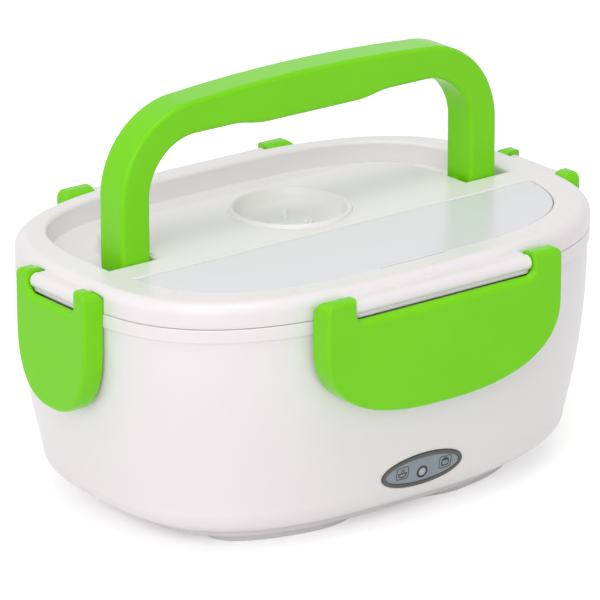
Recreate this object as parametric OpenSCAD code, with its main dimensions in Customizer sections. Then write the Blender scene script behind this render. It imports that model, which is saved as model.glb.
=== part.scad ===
// Electric lunch box: a tapering double-walled box, a lift-off lid held by four swinging
// clips, a folding bail handle, a cutlery compartment and a vent dish in the lid, and a
// plate heater under the food container. Millimetres, front at -Y, feet on Z = 0.

/* [Body] */
// Length of the body along X, at the rim
body_l = 226; // [216:1:240]
// Width of the body along Y, at the rim
body_w = 160; // [154:1:172]
// Squareness of the plan outline (2 is an ellipse)
plan_n = 2.9; // [2.7:0.1:3.4]
// Height of the outer shell, from its base edge to the seam with the lid
shell_h = 90.8; // [84:0.2:110]
// Wall of the outer shell
wall = 2.4; // [1.8:0.1:2.8]
// Height of the band around the shell's rim
band_h = 5.4; // [4:0.2:7]
// How far the band stands out from the wall under it
band_step = 0.8; // [0.4:0.1:1.2]
// How far the wall leans in between the band and the bottom corner
side_draft = 9; // [5:0.5:9.5]
// How far the base edge lies inside the rim's outline, at the two ends
base_inset = 26.4; // [19:0.2:27]
// How much nearer the rim's outline the wall stays at the front and the back
front_spare = 0.16; // [0.04:0.02:0.2]
// Height of the rounded bottom corner
corner_rise = 15; // [13:0.2:18]

/* [Base] */
// Height of the corner feet
foot_h = 2.6; // [2:0.1:4]
// Width of the foot bands
foot_w = 9; // [6:0.5:10.5]
// Thickness of the bottom cover
cover_t = 2.6; // [2.2:0.1:4]
// Distance between the cover screws along X
screw_dx = 128; // [124:1:134]
// Distance between the cover screws along Y
screw_dy = 52; // [44:1:56]
// Radius of a cover screw's shank
screw_r = 1.5; // [1.2:0.1:1.8]

/* [Heater] */
// Length of the heating plate
plate_l = 124; // [112:1:128]
// Width of the heating plate
plate_w = 78; // [70:1:84]
// Thickness of the heating plate
plate_t = 1.6; // [1.2:0.1:2]
// Distance from the end of the heater block to the end of the plate
block_end = 34; // [34:0.5:38]
// Width of the heater block
block_w = 24; // [20:1:26]
// Height of the heater block
block_h = 6; // [5:0.5:7]
// Radius of the thermostat's round can
stat_r = 8; // [6:0.5:8.5]

/* [Panel and inlet] */
// Length of the oval indicator panel
panel_l = 39; // [34:0.5:44]
// Height of the oval indicator panel
panel_h = 13.8; // [12:0.2:15]
// Width of the panel's dark rim
panel_rim = 1.8; // [1.2:0.1:2.4]
// Height of the panel's centre above the shell's base edge
panel_up = 18; // [15:0.5:20]
// Radius of the indicator lens
lens_r = 1.7; // [1.2:0.1:2.2]
// Length of the mains inlet's opening
inlet_l = 16.4; // [16:0.2:18]
// Height of the mains inlet's opening
inlet_h = 8.2; // [7.8:0.2:9]
// Distance between the inlet's two pins
pin_gap = 8.6; // [8:0.2:9]
// Radius of an inlet pin
pin_r = 1.2; // [1:0.1:1.4]

/* [Liner and container] */
// Depth from the seam down to the ledge that carries the liner's flange
seat_drop = 8.1; // [7.5:0.1:10]
// Thickness of the liner's flange and floor
liner_t = 2; // [1.6:0.1:2.4]
// Inset of the liner's wall from the body outline, at the top
liner_in = 8.4; // [8:0.1:9.4]
// Further inset of the liner's wall at its floor
liner_draft = 8; // [6:0.5:10]
// Height of the liner's floor above the shell's base edge
liner_up = 19.4; // [19:0.2:24]
// Thickness of the food container's wall
cont_t = 1.6; // [1.2:0.1:2]
// Gap between the container's wall and the liner's wall
cont_gap = 1; // [0.8:0.1:1.6]
// Length of the divider tray along X
tray_l = 66; // [56:1:80]

/* [Lid] */
// Height of the lid above the seam
lid_h = 10; // [10:0.2:14]
// Thickness of the lid's top skin and deck
lid_t = 1.8; // [1.4:0.1:2]
// Radius of the lid's top outer edge
lid_edge = 4.6; // [3:0.2:6]
// Width of the lid's ring at its two ends
ring_side = 15.5; // [14:0.5:18]
// Width of the lid's ring at the back
ring_rear = 10.4; // [10:0.2:11.4]
// Width of the lid's ring at the front
ring_front = 12.6; // [11.6:0.2:14]
// Width of the bridge between the handle groove and the compartment
bridge_w = 13.5; // [12:0.5:15]
// Radius of the vent dish's rim
dish_r = 23; // [20:0.2:25]
// How far the dish's rim stands above the lid's top
dish_up = 1.4; // [1:0.2:2.4]
// Thickness of the compartment's clear cover
clear_t = 1.8; // [1.4:0.1:2]
// Radius of the vent hole
vent_r = 3.6; // [3:0.1:4.2]

/* [Handle] */
// Width of the handle's legs along X, and thickness of its crown
bail_s = 13.2; // [11:0.2:13.4]
// Depth of the handle's section along Y
bail_d = 15.6; // [13.4:0.2:16.4]
// Place of the handle's pivots along Y, from the lid's centre
bail_y = 3; // [1:0.1:4]
// Radius inside the handle's corners
bail_r = 22.2; // [18:0.2:26]
// Rise of the handle's crown over its shoulders
bail_crown = 2.3; // [1:0.1:3]
// Extra thickness of the grip, under the crown
grip_swell = 2; // [1:0.1:3.4]
// Radius of the handle's pivot studs
bail_pin_r = 1.5; // [1.2:0.1:1.6]

/* [Clips] */
// Width of the front and back clips
clip_long = 112.6; // [96:1:118]
// Width of the left and right clips
clip_short = 44.6; // [38:1:54]
// Height of the front and back clips below their pivots
drop_long = 45.4; // [38:0.2:50]
// Height of the left and right clips below their pivots
drop_short = 47; // [38:0.2:50]
// Thickness of a clip's plate and skirt
clip_t = 2.2; // [1.6:0.1:2.6]
// Width of an ear on the front and back clips
ear_long = 13.4; // [10:0.2:15]
// Width of an ear on the left and right clips
ear_short = 7.2; // [6.8:0.2:9]
// Radius of a clip's ear around its pivot
ear_r = 4.4; // [4:0.1:4.8]
// Radius of the lid's hinge bars
bar_r = 2.9; // [2.6:0.1:3]
// Distance of the clip pivots outside the body outline
clip_out = 3.6; // [3.4:0.1:4.2]
// Radius of the clips' pivot studs
stud_r = 1.5; // [1.2:0.1:1.6]

/* [Hidden] */

white = [0.95, 0.95, 0.94];
green = [0.42, 0.80, 0.12];
grey = [0.35, 0.36, 0.37];
slate = [0.55, 0.59, 0.63];
metal = [0.78, 0.79, 0.80];
clear = [0.85, 0.88, 0.92, 0.5];
silicone = [0.88, 0.89, 0.90];
copper = [0.80, 0.25, 0.15];

ring_pts = 64;          // points around each outline of a lofted wall
seat = 0.1;             // gap between pieces that rest on each other through a seal
fit = 0.3;              // gap around a piece that drops into another
run = 0.06;             // radial running clearance of a pivot stud
over = 1;               // how far a cut runs past the face it opens

half_l = body_l / 2;
half_w = body_w / 2;

// Levels, from the table up
base_z = foot_h + cover_t;
rim_z = base_z + shell_h;
band_z = rim_z - band_h;
corner_z = base_z + corner_rise;
ledge_z = rim_z - seat_drop;
liner_top = ledge_z + liner_t;
floor_z = base_z + liner_up;
flange_t = 1.6;
cont_top = liner_top + flange_t;
gasket_t = 1;
gasket_z = cont_top + seat / 2;
lid_flange_z = gasket_z + gasket_t;
lid_low = rim_z + 0.2;
lid_top = rim_z + lid_h;
deck_z = rim_z + 0.4;
deck_low = deck_z - lid_t;
pivot_z = lid_top - 2.4;

// Outline of the body, inset by i, at height z, as a closed ring of points
function bow(v, n) = sign(v) * pow(abs(v), 2 / n);
function outline(a, b, n, count = ring_pts) =
    [for (k = [0:count - 1]) let (t = 360 * k / count) [a * bow(cos(t), n), b * bow(sin(t), n)]];
function at_height(points, z) = [for (p = points) [p[0], p[1], z]];

// Half width of a plan outline at distance x from its middle
function half_at(x, a, b, n) = b * pow(max(0, 1 - pow(abs(x) / a, n)), 1 / n);

// Rings for rows of [z, inset], or of [z, inset at the ends, inset at the front and the back]
function rings(rows, count = ring_pts) =
    [for (r = rows) let (b = half_w - (len(r) > 2 ? r[2] : r[1]))
        each at_height(outline(half_l - r[1], b, plan_n, count), r[0])];

// A wall that climbs through the rows, capped flat at both ends
module loft(rows, count = ring_pts) {
    points = rings(rows, count);
    last = len(rows) - 1;
    sides = [for (j = [0:last - 1]) for (k = [0:count - 1])
        let (m = (k + 1) % count, p = j * count, q = (j + 1) * count)
            each [[p + k, q + k, q + m], [p + k, q + m, p + m]]];
    low = [for (k = [0:count - 1]) k];
    high = [for (k = [count - 1:-1:0]) last * count + k];
    polyhedron(points, concat([low], sides, [high]));
}

// The same wall as a closed tube: the last row joins the first
module tube_loft(rows, count = ring_pts) {
    points = rings(rows, count);
    total = len(rows);
    polyhedron(points, [for (j = [0:total - 1]) for (k = [0:count - 1])
        let (m = (k + 1) % count, p = j * count, q = ((j + 1) % total) * count)
            each [[p + k, q + k, q + m], [p + k, q + m, p + m]]]);
}

// Skin over a list of rings, each with the same number of points
module skin(rings) {
    count = len(rings[0]);
    last = len(rings) - 1;
    points = [for (r = rings) each r];
    sides = [for (j = [0:last - 1]) for (k = [0:count - 1])
        let (m = (k + 1) % count, p = j * count, q = (j + 1) * count)
            each [[p + k, q + k, q + m], [p + k, q + m, p + m]]];
    low = [for (k = [0:count - 1]) k];
    high = [for (k = [count - 1:-1:0]) last * count + k];
    polyhedron(points, concat([low], sides, [high]));
}

function reversed(list) = [for (k = [len(list) - 1:-1:0]) list[k]];

// ---- Shape of the shell's wall ----
corner_bow = 2.3;       // how late the bottom corner turns in
draft_curve = 2.1;      // how late the wall above it leans in
corner_steps = [1, 0.9, 0.75, 0.55, 0.3, 0];
side_steps = [0.85, 0.6, 0.3, 0.1];
function corner_level(q) = corner_z - q * corner_rise;
function side_level(s) = band_z - s * (band_z - corner_z);

// Inset of the shell's outer face from the body outline, at height z under the band
function body_in(z) =
    z >= corner_z
        ? band_step + (side_draft - band_step) * pow((band_z - z) / (band_z - corner_z), draft_curve)
        : side_draft + (base_inset - side_draft) * pow((corner_z - z) / corner_rise, corner_bow);

// The same at the middle of the front and of the back
function front_in(z) = body_in(z) * (1 - front_spare);

// How much the inset of the inner face adds: more than the wall where the wall slopes
function wall_at(z) = wall * (1 + max(0, corner_z - z) / corner_rise);
function outer_row(z) = [z, body_in(z), front_in(z)];
function inner_row(z) = [z, body_in(z) + wall_at(z), front_in(z) + wall_at(z)];

// ---- Places of the panel and the inlet ----
panel_z = base_z + panel_up;
panel_y = -(half_w - front_in(panel_z));
panel_lean = atan((front_in(panel_z - panel_h / 2) - front_in(panel_z + panel_h / 2)) / panel_h);
panel_proud = 0.6;
panel_sunk = 1.3;
lens_z = -1.2;          // the lens sits a little below the panel's centre
lens_back = 3;
led_back = 6.2;

// Local frame of the panel: X along it, Y up it, Z out of the shell
module on_panel() {
    translate([0, panel_y, panel_z]) rotate([90 + panel_lean, 0, 0]) children();
}

inlet_wall = 2.2;
inlet_deep = 12;
inlet_back = 2.4;
inlet_low = base_z + 3;
inlet_z = inlet_low + inlet_h / 2 + inlet_wall;
inlet_w = inlet_l + 2 * inlet_wall;
inlet_tall = inlet_h + 2 * inlet_wall;
inlet_y = half_w - front_in(inlet_low) - fit;
pin_out = 9.4;          // how far a pin stands into the socket
pin_tail = 4;

// Local frame of the inlet: Z runs into the body from the socket's face
module at_inlet() {
    translate([0, inlet_y, inlet_z]) rotate([90, 0, 0]) children();
}

// ---- Outer shell ----
shell_rows = concat(
    [for (q = corner_steps) outer_row(corner_level(q))],
    [for (s = side_steps) outer_row(side_level(s))],
    [outer_row(band_z), [band_z, 0]]);

module outer_shell() {
    lip = 0.6;          // chamfer of the rim
    ledge_w = 3;
    ledge_h = 2.4;
    under = ledge_z - 2.2 * ledge_h;
    frame_t = 2;
    frame_in = 3;       // how far the inlet's frame reaches over the housing
    post_r = 1.8;
    post_x = 9;
    inside = concat(
        [[rim_z, wall], [ledge_z, wall], [ledge_z, wall + ledge_w], [ledge_z - ledge_h, wall + ledge_w],
            inner_row(under)],
        [for (s = [0.3, 0.6, 0.85]) inner_row(side_level(s))],
        [for (q = reversed(corner_steps)) inner_row(corner_level(q))]);
    color(white) difference() {
        union() {
            tube_loft(concat(shell_rows, [[rim_z - lip, 0], [rim_z, lip]], inside));
            // posts for the indicator board
            on_panel() for (x = [-post_x, post_x])
                translate([x, lens_z, seat - led_back])
                    cylinder(r = post_r, h = led_back - wall / 2, $fn = 32);
            // frame round the inlet, trimmed to the outside of the shell
            intersection() {
                loft(shell_rows);
                translate([-inlet_w / 2 - fit - frame_t, inlet_y - frame_in, inlet_low - fit - frame_t])
                    cube([inlet_w + 2 * (fit + frame_t), half_w, inlet_tall + 2 * (fit + frame_t)]);
            }
        }
        // pocket for the panel, and the lens hole behind it
        on_panel() translate([0, 0, -panel_sunk - seat]) linear_extrude(2 * panel_sunk + wall)
            polygon(outline(panel_l / 2 + fit / 2, panel_h / 2 + fit / 2, 2, 48));
        on_panel() translate([0, lens_z, -2 * wall]) cylinder(r = lens_r + fit / 2, h = 3 * wall, $fn = 48);
        // opening for the mains inlet
        translate([-inlet_w / 2 - fit, inlet_y - frame_in - over, inlet_low - fit])
            cube([inlet_w + 2 * fit, half_w, inlet_tall + 2 * fit]);
    }
}

// ---- Bottom cover, feet and screws ----
cover_in = 1.2;         // how far the cover lies inside the shell's base edge
boss_r = 4.2;
head_r = 3;
head_h = 1.5;
screw_at = [for (x = [-1, 1]) for (y = [-1, 1]) [x * screw_dx / 2, y * screw_dy / 2]];
screw_top = base_z + 12;

// Plan of the shell's base edge, drawn in by d
function base_plan(d) = outline(half_l - body_in(base_z) - d, half_w - front_in(base_z) - d, plan_n);

module bottom_cover() {
    lip_in = wall_at(base_z) + fit;
    lip_w = 1.6;
    lip_h = 2.6;
    rib_w = 2;
    color(white) difference() {
        union() {
            translate([0, 0, foot_h]) linear_extrude(cover_t)
                polygon(base_plan(cover_in));
            // lip that centres the cover in the shell
            translate([0, 0, base_z - over]) linear_extrude(lip_h + over) difference() {
                polygon(base_plan(lip_in));
                polygon(base_plan(lip_in + lip_w));
            }
            // two ribs under the back of the inlet housing
            for (x = [-1, 1])
                translate([x * inlet_w / 3 - rib_w / 2, inlet_y - inlet_deep - inlet_back, base_z - over])
                    cube([rib_w, 4, inlet_low - base_z + over - seat]);
        }
        for (p = screw_at) translate([p[0], p[1], 0]) {
            cylinder(r = screw_r + fit / 2, h = base_z + over, $fn = 48);
            cylinder(r = head_r + fit, h = foot_h + head_h + seat, $fn = 48);
        }
    }
}

// Four bands that follow the base edge round the corners and draw in towards the middles
module corner_feet() {
    foot_in = cover_in + 1.6;
    from = 20;
    to = 87;
    bend = 74;          // where a band starts to draw in
    widest = 40;        // where it has its whole width
    steps = 16;
    turns = [for (k = [0:steps]) from + (to - from) * k / steps];
    foot_a = half_l - body_in(base_z);
    foot_b = half_w - front_in(base_z);
    function foot_point(t, i) = [(foot_a - i) * bow(cos(t), plan_n), (foot_b - i) * bow(sin(t), plan_n)];
    function drawn_in(t) = 0.75 * foot_w
        * pow(max(0, (t - bend) / (to - bend), (widest - t) / (widest - from)), 2);
    band = concat(
        [for (t = turns) foot_point(t, foot_in + drawn_in(t))],
        [for (t = reversed(turns)) foot_point(t, foot_in + foot_w)]);
    color(white) for (x = [0, 1]) for (y = [0, 1])
        mirror([x, 0, 0]) mirror([0, y, 0]) linear_extrude(foot_h) polygon(band);
}

module cover_screws() {
    slot = 0.8;
    reach = 1.8;
    color(metal) for (p = screw_at) translate([p[0], p[1], 0]) difference() {
        union() {
            translate([0, 0, foot_h + seat]) cylinder(r = head_r, h = head_h, $fn = 48);
            translate([0, 0, foot_h + head_h])
                cylinder(r = screw_r, h = screw_top - foot_h - head_h, $fn = 48);
        }
        for (a = [0, 90]) rotate(a) translate([-reach, -slot / 2, 0])
            cube([2 * reach, slot, foot_h + head_h / 2]);
    }
}

// ---- Inner liner ----
liner_low = floor_z - liner_t;
liner_corner = 6;
liner_round = 5;
liner_levels = [for (q = [1, 0.55, 0.2, 0]) floor_z + liner_corner * (1 - q)];
function liner_at(z) =
    liner_in + liner_draft * (ledge_z - z) / (ledge_z - floor_z - liner_corner)
    + liner_round * pow(max(0, floor_z + liner_corner - z) / liner_corner, 2);
open_l = plate_l - 10;
open_w = plate_w - 10;

module inner_liner() {
    flange_in = wall + fit + seat;
    outer = concat(
        [[liner_low, liner_at(floor_z)]],
        [for (z = liner_levels) [z + 0.2, liner_at(z + 0.2)]],
        [[ledge_z, liner_in], [ledge_z, flange_in], [liner_top, flange_in]]);
    inner = concat(
        [[liner_top, liner_in + liner_t]],
        [for (z = reversed(liner_levels)) [z, liner_at(z) + liner_t]]);
    color(white) difference() {
        union() {
            loft(concat(outer, inner));
            for (p = screw_at) translate([p[0], p[1], base_z + seat])
                cylinder(r = boss_r, h = liner_low - base_z, $fn = 48);
        }
        translate([0, 0, liner_low - over]) linear_extrude(liner_t + 2 * over)
            polygon(outline(open_l / 2, open_w / 2, 4));
        for (p = screw_at) translate([p[0], p[1], base_z - over])
            cylinder(r = screw_r + run, h = screw_top - base_z + 2 * over, $fn = 48);
    }
}

// ---- Heater, hung under the plate ----
block_l = plate_l - 2 * block_end;
seal_t = 0.8;
plate_z = floor_z + seal_t + seat / 2;
plate_top = plate_z + plate_t;
block_top = plate_z - seat / 2;
block_low = block_top - block_h;
stud_x = block_l / 2 + 7;
stand_r = 3;
clamp_t = 1.2;
clamp_end = 4.2;
clamp_screw_r = 1.2;
side_x = open_l / 2 - stat_r - 0.5;
blade_t = 0.8;
blade_y = stat_r / 2;
blade_drop = 7;         // how far the thermostat's blades hang below the heater block
blade_low = block_low - blade_drop;
fuse_r = 2.2;
fuse_l = 16;
fuse_lead = 3;

module plate_seal() {
    color(silicone) translate([0, 0, floor_z]) linear_extrude(seal_t) difference() {
        polygon(outline(plate_l / 2 - seat, plate_w / 2 - seat, 4));
        polygon(outline(open_l / 2 + 1, open_w / 2 + 1, 4));
    }
}

module heating_plate() {
    color(metal) difference() {
        union() {
            translate([0, 0, plate_z]) linear_extrude(plate_t) polygon(outline(plate_l / 2, plate_w / 2, 4));
            for (x = [-stud_x, stud_x]) translate([x, 0, block_low])
                cylinder(r = stand_r, h = plate_z - block_low + plate_t / 2, $fn = 48);
        }
        for (x = [-stud_x, stud_x]) translate([x, 0, block_low - over])
            cylinder(r = clamp_screw_r + run, h = block_h, $fn = 48);
    }
}

module heater_block() {
    groove_w = 1.4;
    groove_d = 1.2;
    color(metal) difference() {
        translate([-block_l / 2, -block_w / 2, block_low]) cube([block_l, block_w, block_h]);
        // grooves along both long sides
        for (y = [-1, 1]) translate([0, y * block_w / 2, block_low + block_h / 2])
            cube([block_l + 2 * over, 2 * groove_d, groove_w], center = true);
    }
}

module heater_clamp() {
    color(metal) translate([0, 0, block_low - seat / 2 - clamp_t]) difference() {
        union() {
            translate([-stud_x, -clamp_end, 0]) cube([2 * stud_x, 2 * clamp_end, clamp_t]);
            for (x = [-stud_x, stud_x]) translate([x, 0, 0]) cylinder(r = clamp_end, h = clamp_t, $fn = 48);
        }
        for (x = [-stud_x, stud_x]) translate([x, 0, -over])
            cylinder(r = clamp_screw_r + fit / 2, h = clamp_t + 2 * over, $fn = 48);
    }
}

module clamp_screws() {
    cap_h = 1.4;
    color(metal) for (x = [-stud_x, stud_x]) translate([x, 0, block_low - seat - clamp_t]) {
        translate([0, 0, -cap_h]) cylinder(r = 2 * clamp_screw_r, h = cap_h, $fn = 48);
        translate([0, 0, -cap_h / 2]) cylinder(r = clamp_screw_r, h = block_h - 1, $fn = 48);
    }
}

module thermostat() {
    can_h = 5;
    base_h = 3;
    blade_w = 3;
    color("gainsboro") translate([side_x, 0, block_top - can_h]) {
        cylinder(r = stat_r, h = can_h, $fn = 48);
        translate([0, 0, -base_h]) cylinder(r = stat_r * 0.8, h = base_h + over, $fn = 48);
        for (y = [-1, 1]) translate([-blade_w / 2, y * blade_y - blade_t / 2, blade_low - block_top + can_h])
            cube([blade_w, blade_t, block_top - can_h - blade_low]);
    }
}

module thermal_fuse() {
    color("ivory") translate([-side_x, -fuse_l / 2, block_top - fuse_r]) rotate([-90, 0, 0]) {
        cylinder(r = fuse_r, h = fuse_l, $fn = 32);
        translate([0, 0, -fuse_lead]) cylinder(r = 0.5, h = fuse_l + 2 * fuse_lead, $fn = 24);
    }
}

// ---- Mains inlet ----
module inlet_housing() {
    color([0.16, 0.16, 0.17]) at_inlet() difference() {
        translate([-inlet_w / 2, -inlet_tall / 2, 0]) cube([inlet_w, inlet_tall, inlet_deep + inlet_back]);
        translate([0, 0, -over]) linear_extrude(inlet_deep + over) {
            square([inlet_l - inlet_h, inlet_h], center = true);
            for (x = [-1, 1]) translate([x * (inlet_l - inlet_h) / 2, 0]) circle(d = inlet_h, $fn = 48);
        }
        for (x = [-1, 1]) translate([x * pin_gap / 2, 0, 0])
            cylinder(r = pin_r + run, h = inlet_deep + inlet_back + over, $fn = 48);
    }
}

module inlet_pins() {
    color(metal) at_inlet() for (x = [-1, 1]) translate([x * pin_gap / 2, 0, inlet_deep - pin_out])
        cylinder(r = pin_r, h = pin_out + inlet_back + pin_tail, $fn = 48);
}

// ---- Indicator ----
module indicator_board() {
    board_l = 26;
    board_h = 11;
    board_t = 1.4;
    color([0.10, 0.40, 0.22]) on_panel() translate([-board_l / 2, lens_z - board_h / 2, -led_back - board_t])
        cube([board_l, board_h, board_t]);
}

module indicator_led() {
    color("orangered") on_panel() translate([0, lens_z, -led_back]) {
        cylinder(r = 1.9, h = 0.9, $fn = 32);
        cylinder(r = 1.5, h = led_back - lens_back - seat, $fn = 32);
    }
}

module panel_bezel() {
    color(grey) on_panel() translate([0, 0, -panel_sunk])
        linear_extrude(panel_sunk + panel_proud) difference() {
            polygon(outline(panel_l / 2, panel_h / 2, 2, 48));
            polygon(outline(panel_l / 2 - panel_rim, panel_h / 2 - panel_rim, 2, 48));
        }
}

module panel_face() {
    edge = panel_rim + seat / 2;
    color(slate) on_panel() difference() {
        translate([0, 0, -panel_sunk]) linear_extrude(panel_sunk + panel_proud / 2)
            polygon(outline(panel_l / 2 - edge, panel_h / 2 - edge, 2, 48));
        translate([0, lens_z, -2 * panel_sunk]) cylinder(r = lens_r + run, h = 4 * panel_sunk, $fn = 48);
    }
}

module indicator_lens() {
    dome = 0.5;
    color("whitesmoke") on_panel() translate([0, lens_z, 0]) {
        translate([0, 0, -lens_back]) cylinder(r = lens_r, h = lens_back + panel_proud / 2, $fn = 48);
        translate([0, 0, panel_proud / 2]) cylinder(r1 = lens_r, r2 = lens_r * 0.6, h = dome, $fn = 48);
    }
}

// ---- Wires inside the base: round tubes swept through their own points ----
wire_sides = 8;
mains_r = 1.1;
lead_r = 0.8;
lead_x = 9;
run_low = base_z + 5;   // height at which the wires cross the base
pin_end = inlet_y - inlet_deep - inlet_back - pin_tail - fit;
live_path = [[-pin_gap / 2, pin_end, inlet_z], [-pin_gap / 2, pin_end - 3, inlet_z - 0.6],
    [-9, pin_end - 10, run_low + 1], [-18, 26, run_low], [-30, 21, run_low],
    [3 - side_x, 19.5, run_low + 2.5], [1 - side_x, 18, run_low + 8], [-side_x, 15, block_top - fuse_r - 1],
    [-side_x, fuse_l / 2 + fuse_lead + fit, block_top - fuse_r]];
neutral_path = [[pin_gap / 2, pin_end, inlet_z], [pin_gap / 2, pin_end - 3, inlet_z - 0.6],
    [9, pin_end - 10, run_low + 1], [18, 26, run_low], [30, 20, run_low], [side_x - 4, 15, run_low + 2],
    [side_x, blade_y + 5, blade_low + 2.6], [side_x, blade_y + blade_t / 2 + fit, blade_low + 2.6]];
lead_path = [[0, panel_y + 8.6, panel_z - 1], [0, panel_y + 11.5, panel_z - 3],
    [0, panel_y + 17, inlet_z - 1], [0, panel_y + 28, run_low], [0, -30, run_low],
    [0, -block_w / 2 - 8, run_low + 1.5], [0, -block_w / 2 - 3, run_low + 7],
    [0, -block_w / 2 - lead_r - fit, block_low + 1], [0, -block_w / 2 - lead_r - fit, block_top - 2]];

function unit(v) = v / norm(v);
function tangent(path, k) = unit(path[min(k + 1, len(path) - 1)] - path[max(k - 1, 0)]);
function tube_ring(path, k, r) =
    let (t = tangent(path, k), u = unit(cross(t, [0.2, 0.1, 1])), v = cross(t, u))
        [for (s = [0:wire_sides - 1]) let (a = 360 * s / wire_sides)
            path[k] + r * (cos(a) * u + sin(a) * v)];

module wire(path, r) {
    skin([for (k = [0:len(path) - 1]) tube_ring(path, k, r)]);
}

module mains_wires() {
    color(copper) {
        wire(live_path, mains_r);
        wire(neutral_path, mains_r);
    }
}

module indicator_wires() {
    color([0.2, 0.2, 0.2]) for (x = [-lead_x, lead_x]) translate([x, 0, 0]) wire(lead_path, lead_r);
}

// ---- Food container and divider tray ----
cont_z = plate_top + 1.5 * seat;
cont_corner = 8;
cont_round = 7;
cont_levels = [for (q = [1, 0.6, 0.25, 0]) cont_z + cont_corner * (1 - q)];
function cont_at(z) = liner_at(z) + liner_t + cont_gap;
function cont_turn(z) = cont_at(z) + cont_round * pow(max(0, cont_z + cont_corner - z) / cont_corner, 2);

module food_container() {
    flange_in = wall + 2 * fit;
    outer = concat(
        [for (z = cont_levels) [z, cont_turn(z)]],
        [[liner_top + seat / 2, cont_at(ledge_z)], [liner_top + seat / 2, flange_in], [cont_top, flange_in]]);
    inner = concat(
        [[cont_top, cont_at(ledge_z) + cont_t]],
        [for (z = reversed(cont_levels)) [z + cont_t, cont_turn(z) + cont_t]]);
    color([0.93, 0.94, 0.94]) loft(concat(outer, inner));
}

tray_t = 1.4;
tray_gap = 0.8;
tray_x = half_l - cont_at(ledge_z) - cont_t - tray_l;
tray_top = cont_top - 7;
module divider_tray() {
    grow = cont_t + tray_gap;
    outer = concat(
        [for (z = cont_levels) [z + cont_t + seat, cont_turn(z) + grow]],
        [[tray_top, cont_at(tray_top) + grow]]);
    inner = concat(
        [for (z = cont_levels) [z + cont_t + seat + tray_t, cont_turn(z) + grow + tray_t]],
        [[tray_top + over, cont_at(tray_top) + grow + tray_t]]);
    color([0.80, 0.92, 0.72]) difference() {
        intersection() {
            loft(outer);
            translate([tray_x, -half_w, 0]) cube([half_l, body_w, rim_z]);
        }
        intersection() {
            loft(inner);
            translate([tray_x + tray_t, -half_w, 0]) cube([half_l, body_w, rim_z]);
        }
    }
}

// ---- Places in the lid ----
ring_in_l = half_l - ring_side;
rear_b = half_w - ring_rear;
front_b = half_w - ring_front;
rear_n = 3.4;
front_n = 3.2;
foot_gap = 6.6;         // from the ring to the handle's leg
leg_gap = 2.3;          // from the handle to the island between its legs
fold_gap = 3.4;         // from the folded handle to the ring at the back
leg_out = ring_in_l - foot_gap;
leg_in = leg_out - bail_s;
leg_rear = bail_y + bail_s / 2;
leg_front = leg_rear - bail_d;
bail_rise = rear_b - fold_gap - bail_y;
bail_thick = bail_s + bail_crown + grip_swell;
bail_pin_l = 5.5;
bridge_rear = leg_front - 0.4;
bridge_front = bridge_rear - bridge_w;
island_w = leg_in - leg_gap;
island_y = bail_y + bail_rise - bail_thick - leg_gap;
island_r = bail_r - leg_gap;
dish_flank = 3.6;
dish_y = bridge_front + 2.6 + dish_flank + dish_r;
dish_floor = lid_top - 5.5;
dish_floor_t = 2;
clear_l = ring_in_l - 0.6;
clear_b = front_b - 0.5;
clear_z = lid_top - fit - clear_t;
clear_gap = 0.3;
clear_pin_r = 0.8;
clear_pin_l = 1.5;
clear_hinge_y = bridge_front - 1.9;
clear_hinge_z = clear_z + clear_t / 2;

// Part of a plan outline beyond the line y = cut
function cut_outline(a, b, n, cut, steps = 44) =
    let (t0 = asin(sign(cut) * pow(abs(cut) / b, n / 2)))
        [for (k = [0:steps]) let (t = t0 + (180 - 2 * t0) * k / steps)
            [a * bow(cos(t), n), b * bow(sin(t), n)]];

// The same part in front of the line y = -cut
module front_part(a, b, cut) {
    mirror([0, 1, 0]) polygon(cut_outline(a, b, front_n, cut));
}

// Half width of the cover at its hinge line
clear_hinge_x = half_at(-clear_hinge_y, clear_b, clear_l, front_n);

// The island between the handle's legs, shrunk by d
function island(d) =
    let (w = island_w - d, y = island_y - d, r = island_r - d, steps = 8)
        concat([[-w, bridge_rear - over], [w, bridge_rear - over]],
            [for (k = [0:steps]) let (a = 90 * k / steps) [w - r + r * cos(a), y - r + r * sin(a)]],
            [for (k = [0:steps]) let (a = 90 + 90 * k / steps) [-w + r + r * cos(a), y - r + r * sin(a)]]);

// Profile of the vent dish, from its axis outwards
dish_profile = [
    [0, dish_floor - dish_floor_t], [dish_r + 2, dish_floor - dish_floor_t],
    [dish_r + 1.9, lid_top - 1.2], [dish_r + 1.4, lid_top - 0.2],
    [dish_r + 0.9, lid_top + dish_up * 0.7], [dish_r + 0.4, lid_top + dish_up * 0.96],
    [dish_r, lid_top + dish_up], [dish_r - 0.5, lid_top + dish_up * 0.85],
    [dish_r - 1, lid_top + dish_up * 0.3], [dish_r - 2, lid_top - 1.6],
    [dish_r - 4, lid_top - 3.7], [dish_r - 7, dish_floor + 0.6],
    [dish_r - 11, dish_floor], [0, dish_floor]];

// Clips: [turn about Z, distance of the pivot from the middle, half width, ear width, drop]
clip_z = rim_z + 4.6;
stud_l = 4;
ear_gap = 0.4;
front_at = [0, half_w + clip_out, clip_long / 2, ear_long, drop_long];
back_at = [180, half_w + clip_out, clip_long / 2, ear_long, drop_long];
left_at = [-90, half_l + clip_out, clip_short / 2, ear_short, drop_short];
right_at = [90, half_l + clip_out, clip_short / 2, ear_short, drop_short];
function bar_half(c) = c[2] - c[3] - ear_gap;

// Local frame of a clip: X along its pivot, Y outwards from it, Z up
module at_clip(c) {
    rotate(c[0]) translate([0, -c[1], clip_z]) mirror([0, 1, 0]) children();
}

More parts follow.
